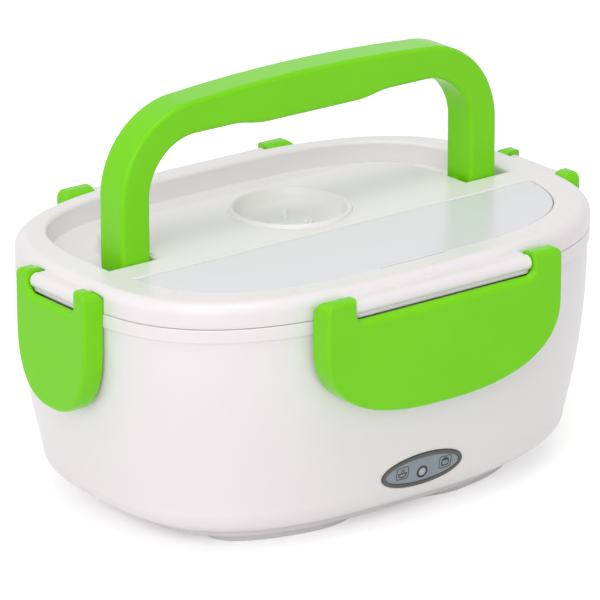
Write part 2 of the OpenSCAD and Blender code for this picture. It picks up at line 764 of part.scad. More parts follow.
// ---- Lid gasket and lid liner ----
module lid_gasket() {
    gasket_in = 4.6;
    gasket_w = 5;
    color(silicone) translate([0, 0, gasket_z]) linear_extrude(gasket_t - seat / 2) difference() {
        polygon(outline(half_l - gasket_in, half_w - gasket_in, plan_n));
        polygon(outline(half_l - gasket_in - gasket_w, half_w - gasket_in - gasket_w, plan_n));
    }
}

module lid_liner() {
    pan_in = cont_at(ledge_z) + cont_t + 1;
    pan_h = 8;
    pan_t = 1.6;
    edge_in = wall + 0.5;
    pan_z = lid_flange_z - pan_h;
    shelf_z = deck_low - seat;
    edge_z = lid_low + 2.8;
    color(white) difference() {
        loft([[pan_z, pan_in + 1.6], [pan_z + 1.2, pan_in + 0.4], [lid_flange_z, pan_in],
            [lid_flange_z, edge_in], [edge_z, edge_in], [edge_z, edge_in + pan_t],
            [shelf_z, edge_in + pan_t], [shelf_z, pan_in + pan_t], [pan_z + pan_t, pan_in + pan_t + 1]]);
        translate([0, dish_y, pan_z - over]) cylinder(r = vent_r, h = pan_t + 2 * over, $fn = 48);
    }
}

// ---- Lid shell ----
module lid_cap() {
    under = lid_edge * 0.75;
    loft([[lid_top - lid_t, wall + under], [lid_top - lid_t - 1, wall + 0.35 * under],
        [lid_top - lid_edge, wall], [lid_low, wall], [lid_low, 0], [lid_top - lid_edge, 0],
        [lid_top - lid_edge * 0.62, lid_edge * 0.08], [lid_top - lid_edge * 0.3, lid_edge * 0.29],
        [lid_top - lid_edge * 0.08, lid_edge * 0.62], [lid_top, lid_edge]]);
}

module hinge_bar(c) {
    web_low = 4.2;
    web_out = 1;        // how far the web's lower part stands out under the bar
    web_top = bar_r - 0.15;
    reach = clip_out + wall + fit;
    at_clip(c) {
        rotate([0, 90, 0]) cylinder(r = bar_r, h = 2 * bar_half(c), center = true, $fn = 48);
        translate([-bar_half(c), -reach, -web_low]) cube([2 * bar_half(c), reach, web_low + web_top]);
        translate([-bar_half(c), -reach, -web_low]) cube([2 * bar_half(c), reach + web_out, web_low]);
    }
}

// Bores in a hinge bar, and pockets in the lid's side that clear the ears
module ear_room(c) {
    room = c[3] + 2 * ear_gap;
    r = ear_r + 0.5;
    at_clip(c) for (x = [-1, 1]) {
        translate([x * (bar_half(c) - stud_l - fit), 0, 0]) rotate([0, x * 90, 0])
            cylinder(r = stud_r + run, h = stud_l + over + fit, $fn = 48);
        translate([x * (bar_half(c) + room / 2), 0, 0]) {
            rotate([0, 90, 0]) cylinder(r = r, h = room, center = true, $fn = 48);
            translate([-room / 2, -r, -lid_h]) cube([room, 2 * r, lid_h]);
        }
    }
}

// Ring, decks, bridge and island
module lid_body() {
    side_solid = 7.4;
    wide = 2 * (ring_in_l - side_solid);
    tilt = 4.5;
    tilt_from = leg_rear;
    cup_r = dish_r + 2;
    difference() {
        union() {
            lid_cap();
            translate([0, 0, deck_low]) linear_extrude(lid_top - lid_t / 2 - deck_low)
                polygon(outline(ring_in_l + lid_t, rear_b + lid_t, rear_n));
        }
        // groove that the folded handle lies in
        translate([0, 0, deck_z]) linear_extrude(2 * lid_h) difference() {
            polygon(cut_outline(ring_in_l, rear_b, rear_n, bridge_rear));
            polygon(island(0));
        }
        // hollows under the bridge, the island and the dish
        translate([-wide / 2, bridge_front + lid_t, deck_low - over])
            cube([wide, bridge_w - 2 * lid_t, lid_top - lid_t - deck_low + over]);
        translate([0, 0, deck_low - over]) linear_extrude(lid_top - 4.3 - deck_low + over) difference() {
            polygon(island(side_solid));
            translate([0, dish_y]) circle(r = cup_r, $fn = 64);
            translate([-half_l, bridge_front]) square([body_l, bridge_w + lid_t]);
        }
        translate([0, dish_y, deck_low - over])
            cylinder(r = cup_r - lid_t, h = dish_floor - dish_floor_t / 2 - deck_low + over, $fn = 64);
        // the island's top falls away towards the back
        translate([-island_w - over, tilt_from, lid_top]) rotate([-tilt, 0, 0])
            cube([2 * island_w + 2 * over, island_y - tilt_from + leg_gap, lid_h]);
        // room for the vent dish
        translate([0, dish_y, dish_floor - dish_floor_t / 2]) cylinder(r = dish_r, h = 2 * lid_h, $fn = 64);
    }
}

module lid_shell() {
    ledge = 2;
    swing = 2.1;        // room for the cover's rear edge as it swings down
    color(white) difference() {
        union() {
            lid_body();
            translate([0, dish_y, 0]) rotate_extrude($fn = 64) polygon(dish_profile);
            hinge_bar(front_at);
            hinge_bar(back_at);
            hinge_bar(left_at);
            hinge_bar(right_at);
        }
        // cutlery compartment, and the rebate for its cover
        translate([0, 0, deck_z]) linear_extrude(2 * lid_h)
            front_part(clear_l - ledge, clear_b - ledge, -bridge_front);
        translate([0, 0, clear_z - fit / 2]) linear_extrude(lid_h)
            front_part(clear_l + clear_gap, clear_b + clear_gap, -bridge_front);
        translate([-clear_hinge_x - clear_gap, clear_hinge_y - swing, clear_hinge_z - swing])
            cube([2 * (clear_hinge_x + clear_gap), bridge_front - clear_hinge_y + swing, lid_h]);
        // vent hole
        translate([0, dish_y, deck_low - over]) cylinder(r = vent_r, h = lid_h, $fn = 48);
        // pivot holes of the handle and of the cover
        for (x = [-1, 1]) {
            translate([x * (leg_in - bail_pin_l - fit), bail_y, pivot_z]) rotate([0, x * 90, 0])
                cylinder(r = bail_pin_r + run, h = bail_pin_l, $fn = 48);
            translate([x * (clear_hinge_x - over), clear_hinge_y, clear_hinge_z]) rotate([0, x * 90, 0])
                cylinder(r = clear_pin_r + run, h = clear_pin_l + over + fit, $fn = 48);
        }
        ear_room(front_at);
        ear_room(back_at);
        ear_room(left_at);
        ear_room(right_at);
    }
}

// ---- Cover of the cutlery compartment ----
module compartment_cover() {
    tab_l = 30;
    tab_w = 2.4;
    tab_h = 0.6;
    pin_in = 3;
    color(clear) {
        translate([0, 0, clear_z]) linear_extrude(clear_t)
            front_part(clear_l, clear_b, -bridge_front + clear_gap + seat);
        for (x = [-1, 1]) translate([x * (clear_hinge_x - pin_in), clear_hinge_y, clear_hinge_z])
            rotate([0, x * 90, 0]) cylinder(r = clear_pin_r, h = clear_pin_l + pin_in, $fn = 32);
        // thumb tab at the middle of the front edge
        translate([-tab_l / 2, -clear_b + tab_w, clear_hinge_z]) cube([tab_l, tab_w, clear_t / 2 + tab_h]);
    }
}

// ---- Vent plug ----
module vent_plug() {
    cap_r = 9;
    cap_h = 1.2;
    stem_l = 4.4;
    // [x, y, radius, height] of an upright nub to pull the plug by, and of a low one in front
    nubs = [[-1.5, 1.5, 1.2, 4.4], [2.3, -6.6, 1, 1.3]];
    color(silicone) translate([0, dish_y, dish_floor + seat / 2]) {
        cylinder(r = cap_r, h = cap_h, $fn = 48);
        translate([0, 0, -stem_l]) cylinder(r = vent_r - run, h = stem_l + cap_h / 2, $fn = 48);
        for (n = nubs) translate([n[0], n[1], cap_h / 2]) cylinder(r = n[2], h = cap_h / 2 + n[3], $fn = 32);
    }
}

// ---- Carry handle: a section with rounded corners, swept over two legs and a crown ----
module carry_handle() {
    outer_r = bail_r + bail_s;
    mid_x = leg_out - outer_r;
    mid_z = pivot_z + bail_rise - bail_crown - outer_r;
    edge = 1.8;
    mid_y = (leg_rear + leg_front) / 2;
    turn_steps = 9;
    top_steps = 14;
    grip_half = 38;
    grip_run = 16;
    function smooth(v) = let (q = max(0, min(1, v))) q * q * (3 - 2 * q);
    function swell(x) = grip_swell * smooth((grip_half - abs(x)) / grip_run);
    // stations of [outer point, inner point] in the XZ plane
    left = concat(
        [for (z = [pivot_z, (pivot_z + mid_z) / 2]) [[-leg_out, z], [-leg_in, z]]],
        [for (k = [0:turn_steps]) let (a = 90 * k / turn_steps)
            [[-mid_x - outer_r * cos(a), mid_z + outer_r * sin(a)],
                [-mid_x - bail_r * cos(a), mid_z + bail_r * sin(a)]]]);
    crown = [for (k = [1:top_steps - 1]) let (x = mid_x * (2 * k / top_steps - 1))
        [[x, mid_z + outer_r + bail_crown * (1 - pow(x / mid_x, 2))], [x, mid_z + bail_r - swell(x)]]];
    right = [for (s = reversed(left)) [[-s[0][0], s[0][1]], [-s[1][0], s[1][1]]]];
    function section(s) =
        let (mid = (s[0] + s[1]) / 2, d = unit(s[0] - s[1]), h = norm(s[0] - s[1]) / 2 - edge,
            w = bail_d / 2 - edge)
            [for (q = [0:3]) for (j = [0:3])
                let (a = 90 * q + 30 * j, u = (q == 0 || q == 3 ? h : -h) + edge * cos(a),
                    v = (q < 2 ? w : -w) + edge * sin(a))
                    [mid[0] + d[0] * u, mid_y - v, mid[1] + d[1] * u]];
    // foot, seen along the pivot: a half round, longer towards the front
    foot = [for (k = [0:24]) let (a = 180 + 180 * k / 24)
        [(cos(a) < 0 ? bail_y - leg_front : bail_s / 2) * cos(a), bail_s / 2 * sin(a)]];
    color(green) {
        skin([for (s = concat(left, crown, right)) section(s)]);
        for (x = [-1, 1]) translate([x * leg_in, bail_y, pivot_z]) rotate([0, x * 90, 0]) {
            translate([0, 0, -bail_pin_l]) cylinder(r = bail_pin_r, h = bail_pin_l + over, $fn = 48);
        }
        for (x = [-leg_out, leg_in]) translate([x, bail_y, pivot_z])
            rotate([90, 0, 90]) linear_extrude(bail_s)
                polygon(concat(foot, [[bail_s / 2, over], [leg_front - bail_y, over]]));
    }
}

// ---- Clips ----
clip_top = -4.4;        // top edge of the plate's inner face, from the pivot
clip_slope = 40;        // slope of the plate's top edge, down to the front
clip_turn = 31;         // height of the rounded lower part
clip_n = 2.5;
function clip_outline(c, d, top) =
    let (h = c[2] - d)
        concat([[h, top], [-h, top]],
            [for (k = [0:24]) let (t = 180 + 180 * k / 24)
                [h * bow(cos(t), clip_n), clip_turn - c[4] + (clip_turn - d) * bow(sin(t), clip_n)]]);

// Extrudes a shape drawn in X and Z along Y, from y0 to y1
module along_y(y0, y1) {
    translate([0, y1, 0]) rotate([90, 0, 0]) linear_extrude(y1 - y0) children();
}

module clip(c) {
    h = c[2];
    ear = c[3];
    face = ear_r;
    back = -ear_r - 0.8;
    ear_low = clip_top - 4;
    rib_h = 2;
    rib_z = band_z - clip_z - rib_h - seat * 4;
    rib_half = (h - ear) * 0.9;
    rib_gap = 0.25;
    color(green) difference() {
        at_clip(c) {
            // plate, with a top edge that slopes to the front between the ears
            difference() {
                along_y(face - clip_t, face) polygon(clip_outline(c, 0, clip_top + over));
                translate([0, face - clip_t, clip_top]) rotate([-clip_slope, 0, 0])
                    translate([ear - h - over, -2 * clip_t, 0])
                        cube([2 * (h - ear + over), 5 * clip_t, 3 * clip_t]);
            }
            // skirt round the sides and the lower edge, up to the seam
            along_y(back, face) difference() {
                polygon(clip_outline(c, 0, rim_z - clip_z));
                polygon(clip_outline(c, clip_t, over));
            }
            // hook rib
            translate([-rib_half, rib_gap - clip_out, rib_z])
                cube([2 * rib_half, face - clip_t / 2 + clip_out - rib_gap, rib_h]);
            for (x = [0, 1]) mirror([x, 0, 0]) translate([h - ear, 0, 0]) {
                rotate([0, 90, 0]) cylinder(r = ear_r, h = ear, $fn = 48);
                translate([-stud_l, 0, 0]) rotate([0, 90, 0])
                    cylinder(r = stud_r, h = stud_l + over, $fn = 48);
                translate([0, -ear_r, ear_low]) cube([ear, 2 * ear_r, -ear_low]);
            }
        }
        // everything under the seam stays clear of the shell's band
        linear_extrude(rim_z) polygon(outline(half_l + fit, half_w + fit, plan_n));
    }
}

module front_clip() {
    clip(front_at);
}

module back_clip() {
    clip(back_at);
}

module left_clip() {
    clip(left_at);
}

module right_clip() {
    clip(right_at);
}

outer_shell();
bottom_cover();
corner_feet();
cover_screws();
inner_liner();
plate_seal();
heating_plate();
heater_block();
heater_clamp();
clamp_screws();
thermostat();
thermal_fuse();
inlet_housing();
inlet_pins();
indicator_board();
indicator_led();
panel_bezel();
panel_face();
indicator_lens();
mains_wires();
indicator_wires();
food_container();
divider_tray();
lid_gasket();
lid_liner();
lid_shell();
compartment_cover();
vent_plug();
carry_handle();
front_clip();
back_clip();
left_clip();
right_clip();
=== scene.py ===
# %% [markdown]
# # An electric lunch box in white and green plastic
#
# The object is a tapering white box with a lift-off lid. Four green clips hold the lid down,
# a green bail handle stands over it, and a small oval panel sits low on the front.
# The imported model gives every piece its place. Here each moulded piece is made again with
# many more points and with rounded edges, because gloss on plastic shows every flat facet.

import math

import bmesh
import bpy
from mathutils import Matrix, Vector


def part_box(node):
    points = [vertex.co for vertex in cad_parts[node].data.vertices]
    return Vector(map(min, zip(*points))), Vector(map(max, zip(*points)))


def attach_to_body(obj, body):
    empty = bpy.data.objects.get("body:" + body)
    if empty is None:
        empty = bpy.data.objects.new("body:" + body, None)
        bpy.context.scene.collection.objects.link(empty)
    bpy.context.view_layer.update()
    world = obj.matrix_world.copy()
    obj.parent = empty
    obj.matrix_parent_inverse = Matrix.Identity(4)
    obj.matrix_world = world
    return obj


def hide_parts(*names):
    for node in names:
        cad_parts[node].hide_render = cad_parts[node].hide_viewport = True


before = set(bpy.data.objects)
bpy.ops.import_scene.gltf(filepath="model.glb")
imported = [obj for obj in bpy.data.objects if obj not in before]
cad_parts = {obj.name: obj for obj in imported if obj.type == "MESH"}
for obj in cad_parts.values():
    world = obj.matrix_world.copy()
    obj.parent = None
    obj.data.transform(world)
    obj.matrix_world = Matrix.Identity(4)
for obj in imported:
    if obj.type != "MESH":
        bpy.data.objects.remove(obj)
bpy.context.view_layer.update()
MM = 0.001
PAST = 4  # how far a cutter runs past what it opens, in millimetres

# %% [markdown]
# ## Sizes
#
# The model is measured in millimetres here and scaled to metres when a mesh is made. The big
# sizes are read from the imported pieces, so the new surfaces stay where the old ones were.
# The small ones, such as wall thicknesses and edge radii, are what a moulder would write down.
#
# A name that ends in l, w, h or t is a length, a width, a height or a thickness, and r is a
# radius. Of an outline, a and b are the half length and the half width, and n says how squared
# off it is: 2 is an ellipse, and larger numbers are boxier. Names in x, y and z are places.

# %% Read the big sizes from the frame
def span(node):
    """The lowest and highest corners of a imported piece, in millimetres."""
    low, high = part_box(node)
    return [c / MM for c in low], [c / MM for c in high]


shell_low, shell_top = span("outer_shell")
half_l = shell_top[0]
half_w = shell_top[1]
base_z = shell_low[2]
rim_z = shell_top[2]
wall = 2.4
plan_n = 2.9
lid_top = rim_z + 10
lid_low = rim_z + 0.2
print("body", round(2 * half_l, 1), "x", round(2 * half_w, 1), "mm, rim at", round(rim_z, 1))

# %% [markdown]
# ## Outlines and lofted walls
#
# Nearly every piece of the box is a wall that climbs around a closed outline. The plan of the
# body is a squared-off ellipse, which a power of sine and cosine gives in one line. An outline
# can be grown or shrunk by an even distance, which gives the wall its thickness.

# %% Make outlines
RING = 224


def bow(v, n):
    """A sine or cosine v, bent so that an ellipse squares off as n grows."""
    return math.copysign(abs(v) ** (2 / n), v)


def plan(inset, a=half_l, b=half_w, n=plan_n, count=RING):
    """The body's outline at the rim, or another squared-off ellipse, drawn in by inset."""
    turns = [2 * math.pi * k / count for k in range(count)]
    return [((a - inset) * bow(math.cos(t), n), (b - inset) * bow(math.sin(t), n)) for t in turns]


def cut_plan(a, b, n, cut, steps=150):
    """The part of a plan outline beyond the line y = cut."""
    start = math.asin(math.copysign((abs(cut) / b) ** (n / 2), cut))
    turns = [start + (math.pi - 2 * start) * k / steps for k in range(steps + 1)]
    return [(a * bow(math.cos(t), n), b * bow(math.sin(t), n)) for t in turns]


def grown(points, d):
    """The outline moved outwards by d, or inwards where d is negative."""
    area = sum(p[0] * q[1] - q[0] * p[1] for p, q in zip(points, points[1:] + points[:1]))
    side = 1 if area > 0 else -1
    out = []
    for p, q, r in zip(points[-1:] + points[:-1], points, points[1:] + points[:1]):
        before = Vector((q[0] - p[0], q[1] - p[1])).normalized()
        after = Vector((r[0] - q[0], r[1] - q[1])).normalized()
        n1 = Vector((before.y, -before.x)) * side
        n2 = Vector((after.y, -after.x)) * side
        mitre = (n1 + n2).normalized()
        reach = d / max(0.4, mitre.dot(n1))
        out.append((q[0] + mitre.x * reach, q[1] + mitre.y * reach))
    return out


print("a ring round the body has", RING, "points")

# %% [markdown]
# A loft joins one ring of points to the next, so a rounded edge is only a few more rings, each
# a little further in. That is cleaner than cutting a sharp edge and beveling it afterwards.

# %% Loft a wall
def level(points, z):
    """A flat outline as a ring at height z."""
    return [(p[0], p[1], z) for p in points]


def solid(name, rings, ring_closed=False):
    """A mesh object skinned over rings of points in millimetres."""
    mesh = bpy.data.meshes.new(name)
    count = len(rings[0])
    points = [Vector(p) * MM for ring in rings for p in ring]
    faces = []
    last = len(rings) if ring_closed else len(rings) - 1
    for j in range(last):
        p = j * count
        q = ((j + 1) % len(rings)) * count
        for k in range(count):
            m = (k + 1) % count
            faces.append((p + k, p + m, q + m, q + k))
    if not ring_closed:
        faces.append(tuple(reversed(range(count))))
        faces.append(tuple((len(rings) - 1) * count + k for k in range(count)))
    mesh.from_pydata(points, [], faces)
    bm = bmesh.new()
    bm.from_mesh(mesh)
    bmesh.ops.recalc_face_normals(bm, faces=bm.faces)
    bm.to_mesh(mesh)
    bm.free()
    obj = bpy.data.objects.new(name, mesh)
    bpy.context.scene.collection.objects.link(obj)
    return obj


def climb(name, points, rows):
    """A loft over rows of (height, how far the outline is drawn in)."""
    return solid(name, [level(grown(points, -inset), z) for z, inset in rows])


def bend(steps):
    """The angles of a quarter turn, in even steps."""
    return [math.pi / 2 * k / steps for k in range(steps + 1)]


def quarter(z, inset, r, steps=6, up=True):
    """Rows that round an outer edge of radius r, ending level at height z."""
    if up:
        return [(z - r + r * math.sin(a), inset + r * (1 - math.cos(a))) for a in bend(steps)]
    return [(z + r - r * math.sin(a), inset + r * (1 - math.cos(a))) for a in reversed(bend(steps))]


print("an edge rounded by 2 mm, as height and inset:", quarter(0, 0, 2, 2))

# %% [markdown]
# ## Tools for holes and pins
#
# A hole or a pin starts as a plain tool: a turned profile, a straight prism or a block. These
# are made along Z at the origin and then moved to their place, which keeps their sizes easy to
# read. A piece that should run along X is turned on the way.

# %% Make and place tools
def revolve(name, profile, steps=96):
    """A turned piece about the Z axis from a profile of (radius, height)."""
    rings = []
    for k in range(steps):
        t = 2 * math.pi * k / steps
        rings.append([(r * math.cos(t), r * math.sin(t), z) for r, z in profile])
    return solid(name, rings, ring_closed=True)


def prism(name, points, z0, z1):
    """A straight piece with one outline, between two heights."""
    return solid(name, [level(points, z0), level(points, z1)])


def disc(r, x=0, y=0, count=64):
    """A round outline about the point x, y."""
    turns = [2 * math.pi * k / count for k in range(count)]
    return [(x + r * math.cos(t), y + r * math.sin(t)) for t in turns]


def block(name, low, high):
    """A box between two corners."""
    points = [(low[0], low[1]), (high[0], low[1]), (high[0], high[1]), (low[0], high[1])]
    return prism(name, points, low[2], high[2])


def move(obj, matrix):
    """Moves a piece by a matrix whose shift is in millimetres."""
    m = matrix.copy()
    m.translation = m.translation * MM
    obj.data.transform(m)
    if m.determinant() < 0:
        obj.data.flip_normals()
    return obj


def along_x(obj, x=0, y=0, z=0, side=1):
    """Turns a piece made along Z so that it runs along X from a place."""
    return move(obj, Matrix.Translation((x, y, z)) @ Matrix.Rotation(side * math.pi / 2, 4, "Y"))


print("a round hole has", len(disc(1)), "sides")

# %% [markdown]
# ## Cutting, joining and shading
#
# Pockets and holes are boolean cuts, and all the cuts of a piece are run at once. Afterwards
# every face is shaded smooth, edges over 38 degrees stay crisp, and weighted normals keep the
# large flats flat beside their narrow rounded edges.

# %% Cut, join and shade
def work(obj, cuts=(), adds=(), keeps=()):
    """Adds pieces, cuts others away, keeps what lies inside others, and removes these tools."""
    for mode, tools in (("UNION", adds), ("DIFFERENCE", cuts), ("INTERSECT", keeps)):
        for tool in tools:
            step = obj.modifiers.new(mode, "BOOLEAN")
            step.operation = mode
            step.solver = "EXACT"
            step.object = tool
    bpy.context.view_layer.update()
    done = bpy.data.meshes.new_from_object(obj.evaluated_get(bpy.context.evaluated_depsgraph_get()))
    obj.modifiers.clear()
    obj.data = done
    for tool in list(adds) + list(cuts) + list(keeps):
        bpy.data.objects.remove(tool)
    return obj


CRISP = 38


def shade(obj, angle=CRISP):
    """Closes the seams that cuts leave and shades a piece for gloss."""
    bm = bmesh.new()
    bm.from_mesh(obj.data)
    bmesh.ops.remove_doubles(bm, verts=bm.verts, dist=0.002 * MM)
    bmesh.ops.dissolve_degenerate(bm, edges=bm.edges, dist=0.002 * MM)
    bm.to_mesh(obj.data)
    bm.free()
    for face in obj.data.polygons:
        face.use_smooth = True
    obj.data.set_sharp_from_angle(angle=math.radians(angle))
    step = obj.modifiers.new("even shading", "WEIGHTED_NORMAL")
    step.keep_sharp = True
    step.weight = 100
    return obj


print("edges sharper than", CRISP, "degrees stay crisp")

# %% [markdown]
# A finished piece gets its material and rides on a body of the frame, so that it moves with
# that body's joint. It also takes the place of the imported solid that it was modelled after.

# %% Attach a piece to its body
def attach(obj, body, material, slot, *nodes):
    """Gives a finished piece its material and body, in place of CAD nodes."""
    obj.name = obj.name.replace(" ", "_")
    obj.data.materials.clear()
    obj.data.materials.append(material)
    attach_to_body(obj, body)
    if nodes:
        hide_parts(*nodes)
    low = [min(v.co[k] for v in obj.data.vertices) / MM for k in range(3)]
    high = [max(v.co[k] for v in obj.data.vertices) / MM for k in range(3)]
    size = [round(h - l, 1) for l, h in zip(low, high)]
    print(obj.name, "is", size, "mm,", len(obj.data.polygons), "faces")
    return obj


# %% [markdown]
# ## Moulded plastic
#
# Injection-moulded polypropylene is never one flat colour. It has a faint cloudiness from the
# flow of the melt, a very fine orange-peel on its polished faces, and a gloss that comes and
# goes a little. Three noises give these, at sizes measured in millimetres on the real thing.
# The noises read object coordinates, so nothing swims when a piece moves.

# %% Make colours and noises
def linear(c):
    """One channel of a picture's colour as an amount of light."""
    return c / 12.92 if c <= 0.04045 else ((c + 0.055) / 1.055) ** 2.4


def colour(rgb):
    """A colour as written in a picture, 0 to 255, for a shader socket."""
    return [linear(c / 255) for c in rgb] + [1]


def noise(nodes, links, coords, size_mm, detail=2, stretch=(1, 1, 1)):
    """A noise whose grains are about size_mm across, squeezed where stretch says so."""
    n = nodes.new("ShaderNodeTexNoise")
    n.inputs["Scale"].default_value = 1 / (size_mm * MM)
    n.inputs["Detail"].default_value = detail
    squeeze = nodes.new("ShaderNodeMapping")
    squeeze.inputs["Scale"].default_value = stretch
    links.new(coords.outputs["Object"], squeeze.inputs["Vector"])
    links.new(squeeze.outputs[0], n.inputs["Vector"])
    return n


def ramp(nodes, links, source, low, high):
    """Turns a noise of 0 to 1 into a range of values."""
    r = nodes.new("ShaderNodeMapRange")
    r.inputs["To Min"].default_value = low
    r.inputs["To Max"].default_value = high
    links.new(source.outputs[0], r.inputs["Value"])
    return r


print("white is", [round(c, 2) for c in colour((241, 236, 238))], "to a shader")

# %% [markdown]
# The cloud noise mixes two close colours, the streak noise moves the roughness, and the fine
# noise makes the orange-peel through a bump. White plastic also scatters light a little below
# its surface, which softens the shade at its edges. The green is polished more.

# %% Mix the plastics
def plastic(name, light, dark, gloss=(0.29, 0.36), peel=0.04, peel_mm=0.7, cloud_mm=60, scatter=0.0,
            stretch=(1, 1, 1)):
    """Moulded plastic with its cloudiness, its changing gloss and its orange-peel."""
    m = bpy.data.materials.new(name)
    m.use_nodes = True
    nodes = m.node_tree.nodes
    links = m.node_tree.links
    skin = nodes["Principled BSDF"]
    coords = nodes.new("ShaderNodeTexCoord")
    cloud = noise(nodes, links, coords, cloud_mm, 3, stretch)
    tint = nodes.new("ShaderNodeMix")
    tint.data_type = "RGBA"
    tint.inputs["A"].default_value = colour(light)
    tint.inputs["B"].default_value = colour(dark)
    links.new(cloud.outputs[0], tint.inputs["Factor"])
    links.new(tint.outputs["Result"], skin.inputs["Base Color"])
    streak = noise(nodes, links, coords, cloud_mm / 3, 2)
    rough = ramp(nodes, links, streak, gloss[0], gloss[1])
    links.new(rough.outputs[0], skin.inputs["Roughness"])
    fine = noise(nodes, links, coords, peel_mm, 3, stretch)
    bump = nodes.new("ShaderNodeBump")
    bump.inputs["Strength"].default_value = peel
    bump.inputs["Distance"].default_value = 0.02 * MM
    links.new(fine.outputs[0], bump.inputs["Height"])
    links.new(bump.outputs["Normal"], skin.inputs["Normal"])
    skin.inputs["Subsurface Weight"].default_value = scatter
    skin.inputs["Subsurface Radius"].default_value = (1.0, 1.0, 1.0)
    skin.inputs["Subsurface Scale"].default_value = 1.2 * MM
    return m


white = plastic("white plastic", (241, 236, 238), (238, 233, 235), gloss=(0.29, 0.34), scatter=0.1)
green = plastic("green plastic", (124, 219, 3), (118, 213, 1), gloss=(0.22, 0.265), cloud_mm=40)
green.node_tree.nodes["Principled BSDF"].inputs["Specular IOR Level"].default_value = 0.25
print("materials:", white.name, "and", green.name)

# %% [markdown]
# ## The outer shell
#
# The wall stands almost upright under the rim band, leans in as it goes down, and rolls under
# in a generous corner. One formula gives how far the wall is in at each height, and the loft
# takes a ring every few millimetres, closer together where it turns.

# %% Loft the shell
band_z = rim_z - 5.4
band_step = 0.8
corner_rise = 15
corner_z = base_z + corner_rise
side_draft = 9
base_inset = 26.4
corner_bow = 2.3
draft_curve = 2.1
front_share = 0.84
ledge_z = rim_z - 8.1


def wall_in(z):
    """How far the shell's outer face is inside the rim's outline at height z, at the ends."""
    if z >= corner_z:
        return band_step + (side_draft - band_step) * ((band_z - z) / (band_z - corner_z)) ** draft_curve
    return side_draft + (base_inset - side_draft) * ((corner_z - z) / corner_rise) ** corner_bow


def front_in(z):
    """The same at the front and the back, where the wall stays nearer the rim's outline."""
    return wall_in(z) * front_share


def body_ring(z, more=0):
    """A ring on the shell's outer face at height z, or further in."""
    return level(plan(0, half_l - wall_in(z) - more, half_w - front_in(z) - more), z)


def inner_ring(z):
    """A ring on the shell's inner face, where the wall thickens in the corner."""
    return body_ring(z, wall * (1 + max(0, corner_z - z) / corner_rise))


def rim_rings(rows):
    """Rings that follow the rim's outline, from rows of height and inset."""
    return [level(plan(i), z) for z, i in rows]


corner_levels = [base_z + corner_rise * k / 18 for k in range(19)]
side_levels = [corner_z + (band_z - 0.8 - corner_z) * k / 16 for k in range(1, 17)]
outside = [level(plan(0, half_l - base_inset - 0.7, half_w - base_inset * front_share - 0.7), base_z)]
outside += [body_ring(z) for z in [base_z + 0.35] + corner_levels[1:] + side_levels]
outside += rim_rings([(band_z - 0.4, band_step * 0.9), (band_z - 0.1, band_step * 0.7),
                      (band_z, band_step * 0.4), (band_z + 0.25, 0.08), (band_z + 0.6, 0)])
outside += rim_rings(quarter(rim_z, 0, 0.6, 4))
ledge_w = 3
ledge_low = ledge_z - 5.28
inside = rim_rings([(rim_z, wall - 0.3), (rim_z - 0.3, wall), (ledge_z, wall), (ledge_z, wall + ledge_w),
                    (ledge_z - 2.4, wall + ledge_w)])
inside += [inner_ring(z) for z in [ledge_low] + list(reversed([base_z] + corner_levels[1:] + side_levels))
           if z <= ledge_low]
shell = solid("shell", outside + inside, ring_closed=True)
print("the shell's wall has", len(outside + inside), "rings")

# %% [markdown]
# The oval panel lies in a shallow pocket that leans with the wall. Its own frame is set up
# once: X runs along the panel, Y up it and Z out of the shell. At the back a socket for the
# mains lead fills a square opening with a small frame around it.

# %% Cut the panel's pocket and the inlet's opening
panel_l = 39
panel_h = 13.8
panel_z = base_z + 18
panel_y = -(half_w - front_in(panel_z))
panel_lean = math.atan((front_in(panel_z - panel_h / 2) - front_in(panel_z + panel_h / 2)) / panel_h)
panel_sunk = 1.3
panel_proud = 0.6
panel_rim = 1.8
lens_z = -1.2
lens_r = 1.7
on_panel = Matrix.Translation((0, panel_y, panel_z)) @ Matrix.Rotation(math.pi / 2 + panel_lean, 4, "X")


def oval(inset, count=96):
    """The panel's outline, drawn in by inset."""
    return plan(inset, panel_l / 2, panel_h / 2, 2, count)


pocket_rows = [(-panel_sunk - 0.1, 0), (-0.5, 0), (0.1, -0.12), (0.6, -0.6), (PAST, -0.6)]
pocket = solid("pocket", [level(oval(i - 0.15), z) for z, i in pocket_rows])
lens_hole = prism("lens hole", disc(lens_r + 0.15, 0, lens_z), -6, PAST)
inlet_low, inlet_top = span("inlet_housing")
inlet_gap = 0.3
opening = block("opening", (inlet_low[0] - inlet_gap, inlet_top[1] - 4, inlet_low[2] - inlet_gap),
                (inlet_top[0] + inlet_gap, half_w, inlet_top[2] + inlet_gap))
collar_w = 2.3
collar = block("collar", (inlet_low[0] - collar_w, inlet_top[1] - 3, inlet_low[2] - collar_w),
               (inlet_top[0] + collar_w, half_w, inlet_top[2] + collar_w))
work(collar, keeps=[solid("trim", outside)])
move(pocket, on_panel)
move(lens_hole, on_panel)
work(shell, cuts=[pocket, lens_hole, opening], adds=[collar])
shade(shell)
attach(shell, "base", white, "white_plastic", "outer_shell")

# %% [markdown]
# ## Underneath: the bottom cover and its feet
#
# The cover is a flat moulding screwed up into four bosses of the liner. Its edge stands in a
# little from the shell, and a lip on its upper side centres it. The four feet are softer strips
# that follow the corners and thin out towards the middle of each side, matt so that they grip.

# %% Mould the bottom cover
foot_h = 2.6
foot_a = half_l - base_inset
foot_b = half_w - base_inset * front_share
screw_x = 64
screw_y = 26
screw_r = 1.5
head_r = 3
head_h = 1.5
screw_places = [(x, y) for x in (-screw_x, screw_x) for y in (-screw_y, screw_y)]


def base_plan(d, count=160):
    """The shell's lower edge, drawn in by d."""
    return plan(0, foot_a - d, foot_b - d, plan_n, count)


